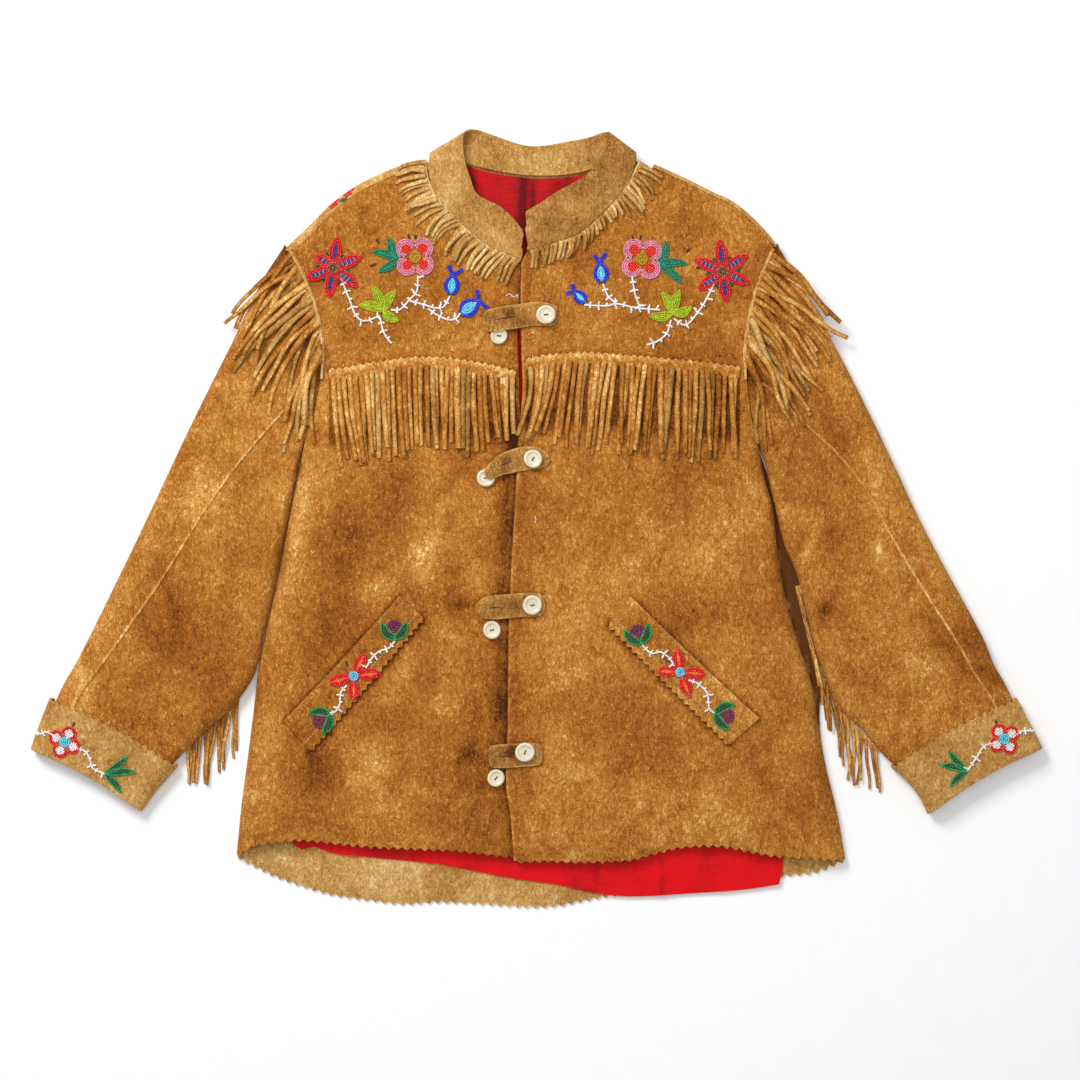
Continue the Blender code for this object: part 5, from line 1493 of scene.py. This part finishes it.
class Beadwork:
    """Seed beads sewn in lanes on the hide."""

    def __init__(self, ground):
        self.ground = ground
        self.beads = []
        self.colours = []

    def bead(self, x, y, turn, colour, lift=0.0):
        self.beads.append((x, y, turn, lift))
        self.colours.append(colour)

    def lane(self, path, colour, lift=0.0):
        """A row of beads strung along a path."""
        path = np.asarray(path, float)
        run = run_along(path)
        count = max(int(round(run[-1] / BEAD_LENGTH)), 1)
        at = (np.arange(count) + .5) / count * run[-1]
        ahead = spots(path, run, at + .4) - spots(path, run, at - .4)
        for (x, y), turn in zip(spots(path, run, at), np.arctan2(ahead[:, 1], ahead[:, 0])):
            self.bead(x, y, turn, colour, lift)

    def petal(self, base, tip, width, lanes, fill=None, rows=False, widest=.45, bend=0.0, lift=0.0):
        """Lanes that follow a petal's edge, from outside in, and a fill of lanes or of rows across it."""
        base, tip = np.array(base, float), np.array(tip, float)
        aside = leftward(unit(tip - base))
        t = even(61)
        half = width / 2 * np.sin(np.pi * t ** (math.log(.5) / math.log(widest))) ** .66
        spine = base + t[:, None] * (tip - base) + bend * np.sin(np.pi * t)[:, None] * aside
        filled = list(lanes) + ([fill] * 4 if fill and not rows else [])
        for number, colour in enumerate(filled):
            inset = (number + .5) * LANE
            inside = half > inset - (.35 * LANE if number == 0 else 0)
            if inside.sum() < 4:
                break
            for way in (-1, 1):
                out = np.maximum(half - inset, 0)[inside, None] * way * aside
                self.lane(spine[inside] + out, colour, lift)
        if fill and not rows:
            wide = half > 1.1 * LANE
            if wide.sum() > 3:
                self.lane(spine[wide], fill, lift - .3)
        if rows:
            room = half - len(lanes) * LANE
            span = np.flatnonzero(room > .6)
            if len(span) > 1:
                reach = np.linalg.norm(tip - base)
                for number, place in enumerate(np.arange(t[span[0]], t[span[-1]], LANE / reach)):
                    middle = spots(spine, t, place)
                    out = np.interp(place, t, room)
                    colour = fill if isinstance(fill, str) else fill[number % len(fill)]
                    self.lane([middle - out * aside, middle + out * aside], colour, lift)

    def disc(self, centre, radius, colours, lift=0.0):
        """Rings of beads round one in the middle; colours run from outside in."""
        rings = max(int(radius / LANE), 1)
        for number in range(rings):
            colour = colours[min(number, len(colours) - 1)]
            r = radius - (number + .5) * LANE
            if r < .8:
                break
            turn = np.linspace(0, 2 * np.pi, 25)
            ring = np.column_stack([centre[0] + r * np.cos(turn), centre[1] + r * np.sin(turn)])
            self.lane(ring, colour, lift)
        self.bead(*centre, 0, colours[-1], lift)

    def lobes(self, centre, first, reach, radius, lanes, fill, heart, heart_radius):
        """A flower of round lobes about a heart; each lobe keeps to its own share of the round."""
        centre = np.array(centre, float)
        for index in range(LOBES):
            turn = math.radians(first) + 2 * math.pi * index / LOBES
            ahead = towards(turn)
            middle = centre + reach * ahead
            inner = radius - len(lanes) * LANE
            self.petal(centre + .8 * heart_radius * ahead, middle + (inner + .8) * ahead,
                       2 * inner + 1.6, [], fill, rows=True, widest=.58)
            for number, colour in enumerate(lanes):
                r = radius - (number + .5) * LANE
                steps = max(int(2 * math.pi * r / BEAD_LENGTH), 3)
                for k in range(steps):
                    way = turn + 2 * math.pi * k / steps
                    spot = middle + r * towards(way)
                    if math.cos(way - turn) < -.62:
                        continue
                    off = spot - centre
                    share = (math.atan2(off[1], off[0]) - turn + math.pi) % (2 * math.pi) - math.pi
                    away = np.hypot(*off)
                    in_share = abs(share) < math.pi / LOBES - .5 / max(away, 1)
                    if in_share and away > heart_radius - .3 * LANE:
                        self.bead(*spot, way + math.pi / 2, colour)
        self.disc(centre, heart_radius, heart, .35)

    def stem(self, points, gap=8.5, barb=4.2):
        """A white stem with short barbs in pairs."""
        path = smooth_path(points, even(40))
        self.lane(path, "white")
        run = run_along(path)
        for number, at in enumerate(np.arange(gap * .55, run[-1] - 2, gap)):
            spot = spots(path, run, at)
            ahead = spots(path, run, at + 1) - spot
            turn = math.atan2(ahead[1], ahead[0])
            for way in ((1, -1) if number % 3 != 2 else (1 - 2 * (number % 2),)):
                lean = turn + way * math.radians(56 + 8 * vary(number, 41))
                out = towards(lean)
                tip = spot + (barb + vary(number, 42 + way)) * out
                self.lane([spot + 1.2 * out, tip], "white", .2)
                if number % 2:
                    fork = lean + way * .9
                    self.lane([tip, tip + 2.0 * towards(fork)], "white", .2)

    def bud(self, base, neck, forks):
        """A closed flower: royal-blue edge, pale fill, crossed tips and a dark sepal."""
        base, neck = np.array(base, float), np.array(neck, float)
        reach = np.linalg.norm(neck - base)
        aside = leftward(neck - base) / reach
        for way in (-1, 1):
            outer_end = base + 3.6 * way * aside - .8 * unit(neck - base)
            self.lane([base + way * .5 * aside, outer_end], "moss")
        self.petal(base, neck, reach * .86, ["royal", "royal"], "sky", widest=.42)
        for fork in forks:
            side = np.array(fork, float) - neck
            thick = .5 * LANE * leftward(side) / np.hypot(*side)
            for edge in (thick, -thick):
                self.lane([neck - .25 * side + edge, fork + edge], "royal")

    def thistle(self, base, heading):
        """A plum dome held between two curved green leaves."""
        ahead = towards(math.radians(heading))
        aside = leftward(ahead)
        base = np.array(base, float)
        self.disc(base + .98 * THISTLE * ahead, .60 * THISTLE, ["plum"])
        for way in (-1, 1):
            tip = base + 1.42 * THISTLE * ahead + way * .98 * THISTLE * aside
            self.petal(base - way * .06 * THISTLE * aside, tip, .74 * THISTLE, ["green"], "moss",
                       bend=way * 2.6, lift=.35)

    def stems(self, *paths):
        for path in paths:
            self.stem(path)

    def feelers(self, *paths):
        """Thin dark feelers beside the flowers."""
        for path in paths:
            self.lane(path, "ink")

    def build(self, name, ground_lift=.62):
        """One object for the whole motif."""
        beads = np.array(self.beads)
        sewn = self.ground.at(beads[:, 0], beads[:, 1]) > LOWEST_BEAD
        beads = beads[sewn]
        colours = [colour for colour, kept in zip(self.colours, sewn) if kept]
        count = len(beads)
        x, y, turn, lift = beads.T
        z = self.ground.at(x, y) + ground_lift * BEAD_WIDTH / 2 + lift
        order = np.arange(count)
        wobble = np.array([vary(k, 61) for k in order])
        turn = turn + .07 * wobble
        size = 1 + .05 * np.array([vary(k, 62) for k in order])
        barrel, one = lathe(BEAD_SECTION, BEAD_SIDES)
        barrel *= (BEAD_WIDTH / 2, BEAD_WIDTH / 2, BEAD_LENGTH)
        across, up, along = barrel.T[:, None] * size[:, None]
        c, s = np.cos(turn)[:, None], np.sin(turn)[:, None]
        points = np.stack([x[:, None] + along * c - across * s, y[:, None] + along * s + across * c,
                           z[:, None] + up], axis=-1).reshape(-1, 3)
        palette = sorted(set(colours))
        piece = Piece()
        faces = [[k * len(barrel) + i for i in face] for k in range(count) for face in one]
        piece.add(points, faces)
        piece.paints = [palette.index(colour) for colour in colours for _ in one]
        return piece.build(name, "beads", [glass_finish(colour) for colour in palette],
                           stands_for_node=False, crisp=80)


def star(work, centre, first, reaches):
    """Six long red petals with steel-blue rows inside, dark slivers between them and a brown heart."""
    centre = np.array(centre, float)
    for index, reach in enumerate(reaches):
        turn = math.radians(first + 60 * index)
        ahead = towards(turn)
        sliver = towards(turn + math.radians(30))
        work.petal(centre + 8 * sliver, centre + 17 * sliver, 5.5, ["moss"], "moss")
        work.petal(centre + 3.5 * ahead, centre + reach * ahead, STAR_PETAL, ["red", "red"],
                   ("indigo", "steel") if index % 3 else "indigo", rows=True, lift=.3)
    work.disc(centre, 6.4, ["brown"], .7)


def sprig(work, root, tips, width, lanes, fill, bends=(1.5, -1.5, 1.5, -1.5)):
    """Leaves that share a root."""
    for tip, bend in zip(tips, bends):
        work.petal(root, tip, width, lanes, fill, bend=bend)


def bead_yoke_left(work):
    star(work, (-203, 252), 82, (32, 21, 31, 30, 31, 32))
    sprig(work, (-138, 261), [(-147, 283), (-164, 268), (-158, 248)], 9, ["teal"], "teal")
    work.lobes((-121, 263), 48, 11.4, 10.8, ["pink"] * 3, "scarlet", ["gold"], 6.2)
    sprig(work, (-153, 209), [(-164, 235), (-177, 215), (-140, 230), (-137, 199)], 10.5, ["lime"], "lime",
          (-1.5, -2, 1.5, -2))
    work.feelers([(-154, 212), (-153, 217)])
    work.bud((-85, 226), (-83, 245), [(-87.5, 255), (-73, 250.5)])
    work.bud((-75, 206.5), (-57.5, 219), [(-59, 230), (-48, 211.5)])
    work.stems([(-195, 242), (-186, 219), (-181, 206), (-172, 199), (-156, 204)],
               [(-156, 203), (-153, 190), (-149, 182), (-144, 176.5)],
               [(-145, 210), (-136, 210.5), (-126.5, 220), (-119, 229), (-118, 244)],
               [(-126, 219), (-111, 215), (-101, 212), (-92, 213.5), (-86, 224)],
               [(-108, 211.5), (-99, 205), (-87, 200), (-79, 202), (-75.5, 207)])
    work.feelers([(-126, 280), (-128, 286)], [(-121, 281), (-120, 285)], [(-160, 256), (-166, 254)],
                 [(-157, 277), (-160, 281)])


def bead_yoke_right(work):
    star(work, (187, 248), 96, (33, 32, 31, 31, 29, 30))
    sprig(work, (123, 256), [(131, 279), (152, 256), (146, 236)], 9, ["teal"], "teal", (-1.5, 1.5, 1.5))
    work.lobes((106, 261), 40, 12.0, 11.2, ["pink"] * 3, "scarlet", ["gold"], 6.2)
    sprig(work, (137, 206), [(126, 228), (144, 230), (156, 213), (113, 204)], 10.5, ["lime"], "lime",
          (-1.5, 1.5, -2, 2))
    work.feelers([(138, 210), (138, 215)])
    work.bud((49, 218), (38, 229), [(36, 236), (30, 226)])
    work.bud((66, 238), (64, 257), [(70, 267), (58, 265)])
    work.stems([(48, 215), (70, 214), (81, 216), (101, 212), (124, 210)],
               [(67, 236), (72, 224), (81, 216)],
               [(96, 244), (99, 226), (104, 213)],
               [(138, 201), (150, 195), (163, 209), (171, 222), (178, 236)],
               [(135, 200), (131, 187), (122, 179), (111, 175)])
    work.feelers([(98, 279), (96, 285)], [(104, 280), (105, 285)], [(150, 268), (154, 272)],
                 [(160, 252), (166, 253)])


def bead_shoulder_left(work):
    """The tips of a flower on the back that come over the shoulder."""
    # Each lane's first and last share of the shoulder's edge, its inset and its colour
    for first, last, inset, colour in ((.372, .470, 2.0, "red"), (.375, .445, 4.3, "red"),
                                       (.458, .505, 4.3, "teal"), (.472, .520, 6.3, "moss"),
                                       (.505, .600, 2.0, "red"), (.515, .570, 4.3, "red")):
        line = shoulder_line("left", inset, 60)
        work.lane(smooth_path(line, np.linspace(first, last, 6)), colour)


def blossom(work, centre, tips):
    """Four pointed red petals filled with orange round a sky-blue heart."""
    centre = np.array(centre, float)
    for tip in tips:
        tip = np.array(tip, float)
        work.petal(centre + .12 * (tip - centre), tip, 12.0, ["red", "red"], "orange", widest=.52)
    work.disc(centre, 5.0, ["sky", "sky", "royal"], .4)


def bead_welt_left(work):
    blossom(work, (-182, -156), [(-171, -134), (-155, -153), (-182, -180), (-207, -163)])
    work.thistle((-141, -120), 92)
    work.thistle((-205, -194), 212)
    work.stem([(-141, -121), (-147, -128), (-156, -131), (-163, -137), (-170, -148)], 7, 3.4)
    work.stem([(-189, -165), (-195, -173), (-196, -184), (-200, -191), (-206, -193)], 7, 3.4)
    work.feelers([(-188, -146), (-190, -141)])


def bead_welt_right(work):
    blossom(work, (144, -152), [(141, -129), (169, -154), (154, -177), (121, -151)])
    work.thistle((105, -124), 106)
    work.thistle((178, -193), -12)
    work.stem([(106, -125), (115, -133), (125, -132), (134, -139), (138, -146)], 7, 3.4)
    work.stem([(152, -160), (161, -163), (171, -173), (173, -188), (178, -193)], 7, 3.4)
    work.feelers([(133, -142), (130, -138)])


def bead_cuff_left(work):
    work.lobes((-471, -222), 62, 9.0, 8.0, ["red"] * 2, "white", ["sky"], 5.4)
    sprig(work, (-431, -254), [(-408, -236), (-399, -252), (-414, -273)], 8, ["green"], "moss",
          (-1.5, 1.5, 1.5))
    work.stem([(-503, -213), (-495, -214), (-490, -212), (-482, -215)], 6, 3)
    work.stem([(-460, -228), (-451, -231), (-446, -239), (-443, -248), (-431, -254)], 7, 3.2)
    work.feelers([(-463, -206), (-461, -202)])


def bead_cuff_right(work):
    work.lobes((468, -219), 36, 9.0, 8.0, ["red"] * 2, "white", ["sky"], 5.4)
    sprig(work, (431, -251), [(412, -230), (403, -245), (414, -267)], 8, ["green"], "moss", (1.5, -1.5, -1.5))
    work.stem([(459, -223), (448, -226), (440, -238), (431, -251)], 7, 3.2)
    work.stem([(480, -215), (486, -211), (499, -211)], 6, 3)
    work.feelers([(461, -204), (459, -200)])


def build_jacket():
    """Every piece, from the surface up."""
    under, fronts = Relief(), Relief()
    made = {}

    def keep(*things):
        for thing in things:
            made[thing.name.removeprefix(FINE)] = thing

    keep(*build_back(), build_lining())
    for side in SIDES:
        under.lay(made[f"back_{side}"])
    for side in SIDES:
        keep(build_shoulder(side), build_front(side), *build_sleeve(side), build_cuff(side))
        fronts.lay(made[f"front_{side}"])
    body = fronts.copy()
    for side in SIDES:
        body.lay(made[f"back_shoulder_{side}"])
    keep(build_collar(body))
    for side in SIDES:
        for name in (f"sleeve_front_{side}", f"sleeve_back_{side}", f"cuff_{side}"):
            body.lay(made[name])
        keep(build_welt(side, fronts))
    relief = body.copy()
    for side in SIDES:
        keep(build_armhole_fringe(side, relief), build_sleeve_fringe(side, under))
    for name, sizes in FRINGE.items():
        on_collar = name.startswith("fringe_collar")
        path = np.array(sizes["path"], float)
        if on_collar:
            path -= UNDER_COLLAR * to_the_right(path)
        keep(build_fringe(name, relief, seed=len(name) + 7 * name.endswith("left"),
                          slot="hide_light" if on_collar else "hide",
                          finish=[PALE_SUEDE, PALE_SUEDE] if on_collar else None, **dict(sizes, path=path)))
    straps = fronts.copy()
    covered = [index for index, row in enumerate(BUTTONS) if row[3]]
    for index in covered:
        keep(build_button(index, fronts))
        straps.lay(made[f"button_{index + 1}"])
    for index in range(len(TABS)):
        keep(build_tab(index, straps))
    for index in range(len(TABS)):
        straps.lay(made[f"tab_{index + 1}"])
    for index in range(len(BUTTONS)):
        if index not in covered:
            keep(build_button(index, straps))
    for side, yoke, welt, cuff in (("left", bead_yoke_left, bead_welt_left, bead_cuff_left),
                                   ("right", bead_yoke_right, bead_welt_right, bead_cuff_right)):
        fronts.lay(made[f"welt_{side}"])
        for place, draw, ground in (("yoke", yoke, fronts), ("welt", welt, fronts), ("cuff", cuff, body)):
            work = Beadwork(ground)
            draw(work)
            keep(work.build(f"beads_{place}_{side}"))
    over_shoulder = Beadwork(body)
    bead_shoulder_left(over_shoulder)
    keep(over_shoulder.build("beads_shoulder_left"))
    return made


def build_stage():
    """Plain pale floor, soft lights and the camera that looks straight down."""
    mesh = bpy.data.meshes.new("floor")
    corners = [(-1, -1), (1, -1), (1, 1), (-1, 1)]
    mesh.from_pydata([(x * FLOOR_REACH, y * FLOOR_REACH, FLOOR_Z) for x, y in corners], [], [(0, 1, 2, 3)])
    floor = put("floor", mesh)
    paper = Finish("floor_paper", Roughness=0.9, Specular_IOR_Level=0.1)
    mesh.materials.append(paper.finish(paper.ramp(paper.grain(40), [(0.0, [248] * 3), (1.0, [252] * 3)])))
    world = bpy.data.worlds.new("studio")
    world.use_nodes = True
    sky = world.node_tree.nodes["Background"].inputs
    sky["Color"].default_value = (1, 1, 1, 1)
    sky["Strength"].default_value = WORLD_LIGHT
    bpy.context.scene.world = world
    for name, place, size, power in LIGHTS:
        light = bpy.data.lights.new(name, "AREA")
        light.shape, light.size, light.energy = "SQUARE", size, power
        lamp = put(name, light)
        lamp.location = place
        lamp.rotation_euler = (-Vector(place)).to_track_quat("-Z", "Y").to_euler()
    lens = bpy.data.cameras.new("camera")
    lens.lens, lens.sensor_width = LENS
    camera = put("camera", lens)
    camera.location = CAMERA_PLACE
    bpy.context.scene.camera = camera
    bpy.context.scene.view_settings.view_transform = "Standard"


FRONTS = ["front_left", "front_right"]
# Flat cut of each piece of hide or cloth in metres. Columns: width, length, area, what it lies on
CUTS = {
    "back_left": (.325, .757, .204, ["floor"]),
    "back_right": (.291, .755, .169, ["floor"]),
    "back_shoulder_left": (.026, .152, .0035, ["floor"]),
    "back_shoulder_right": (.023, .148, .0031, ["floor"]),
    "lining_back": (.495, .737, .297, ["back_left", "back_right"]),
    "front_left": (.289, .695, .153, ["lining_back"]),
    "front_right": (.342, .702, .178, ["lining_back"]),
    "sleeve_front_left": (.165, .520, .047, ["floor"]),
    "sleeve_back_left": (.265, .560, .088, ["floor"]),
    "sleeve_front_right": (.170, .520, .050, ["floor"]),
    "sleeve_back_right": (.255, .560, .083, ["floor"]),
    "cuff_left": (.288, .064, .0163, ["floor"]),
    "cuff_right": (.296, .064, .0168, ["floor"]),
    "collar": (.425, .045, .0168, FRONTS + ["lining_back"]),
    "welt_left": (.172, .043, .0069, ["front_left"]),
    "welt_right": (.177, .043, .0072, ["front_right"]),
    "tab_1": (.075, .0235, .0017, FRONTS),
    "tab_2": (.070, .0235, .0014, FRONTS),
    "tab_3": (.070, .0235, .0016, FRONTS),
    "tab_4": (.056, .0235, .0013, FRONTS),
}
# What is sewn to each of them
SEWN_ON = {
    "collar": ["fringe_collar_left", "fringe_collar_right"],
    "back_shoulder_left": ["beads_shoulder_left"],
}
for side in SIDES:
    SEWN_ON[f"front_{side}"] = [f"fringe_yoke_{side}", f"fringe_armhole_{side}", f"beads_yoke_{side}"]
    SEWN_ON[f"sleeve_front_{side}"] = [f"fringe_sleeve_{side}"]
    for beaded in ("cuff", "welt"):
        SEWN_ON[f"{beaded}_{side}"] = [f"beads_{beaded}_{side}"]

FLOOR_REACH = 4  # half the floor's width in metres
FLOOR_Z = -.0003
WORLD_LIGHT = 0.45
# Columns: name, place in metres, size in metres, power in watts
LIGHTS = [("key", (-1.3, 1.7, 1.9), 1.0, 62.0), ("overhead", (0.2, 0.3, 3.4), 2.2, 32.0)]
LENS = (85, 36)  # focal length and width of the picture behind it, in millimetres
CAMERA_PLACE = (0.004, -0.020, 2.567)

pieces = build_jacket()
for name, (width, length, area, below) in CUTS.items():
    [pieces[other] for other in SEWN_ON.get(name, [])]
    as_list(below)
build_stage()
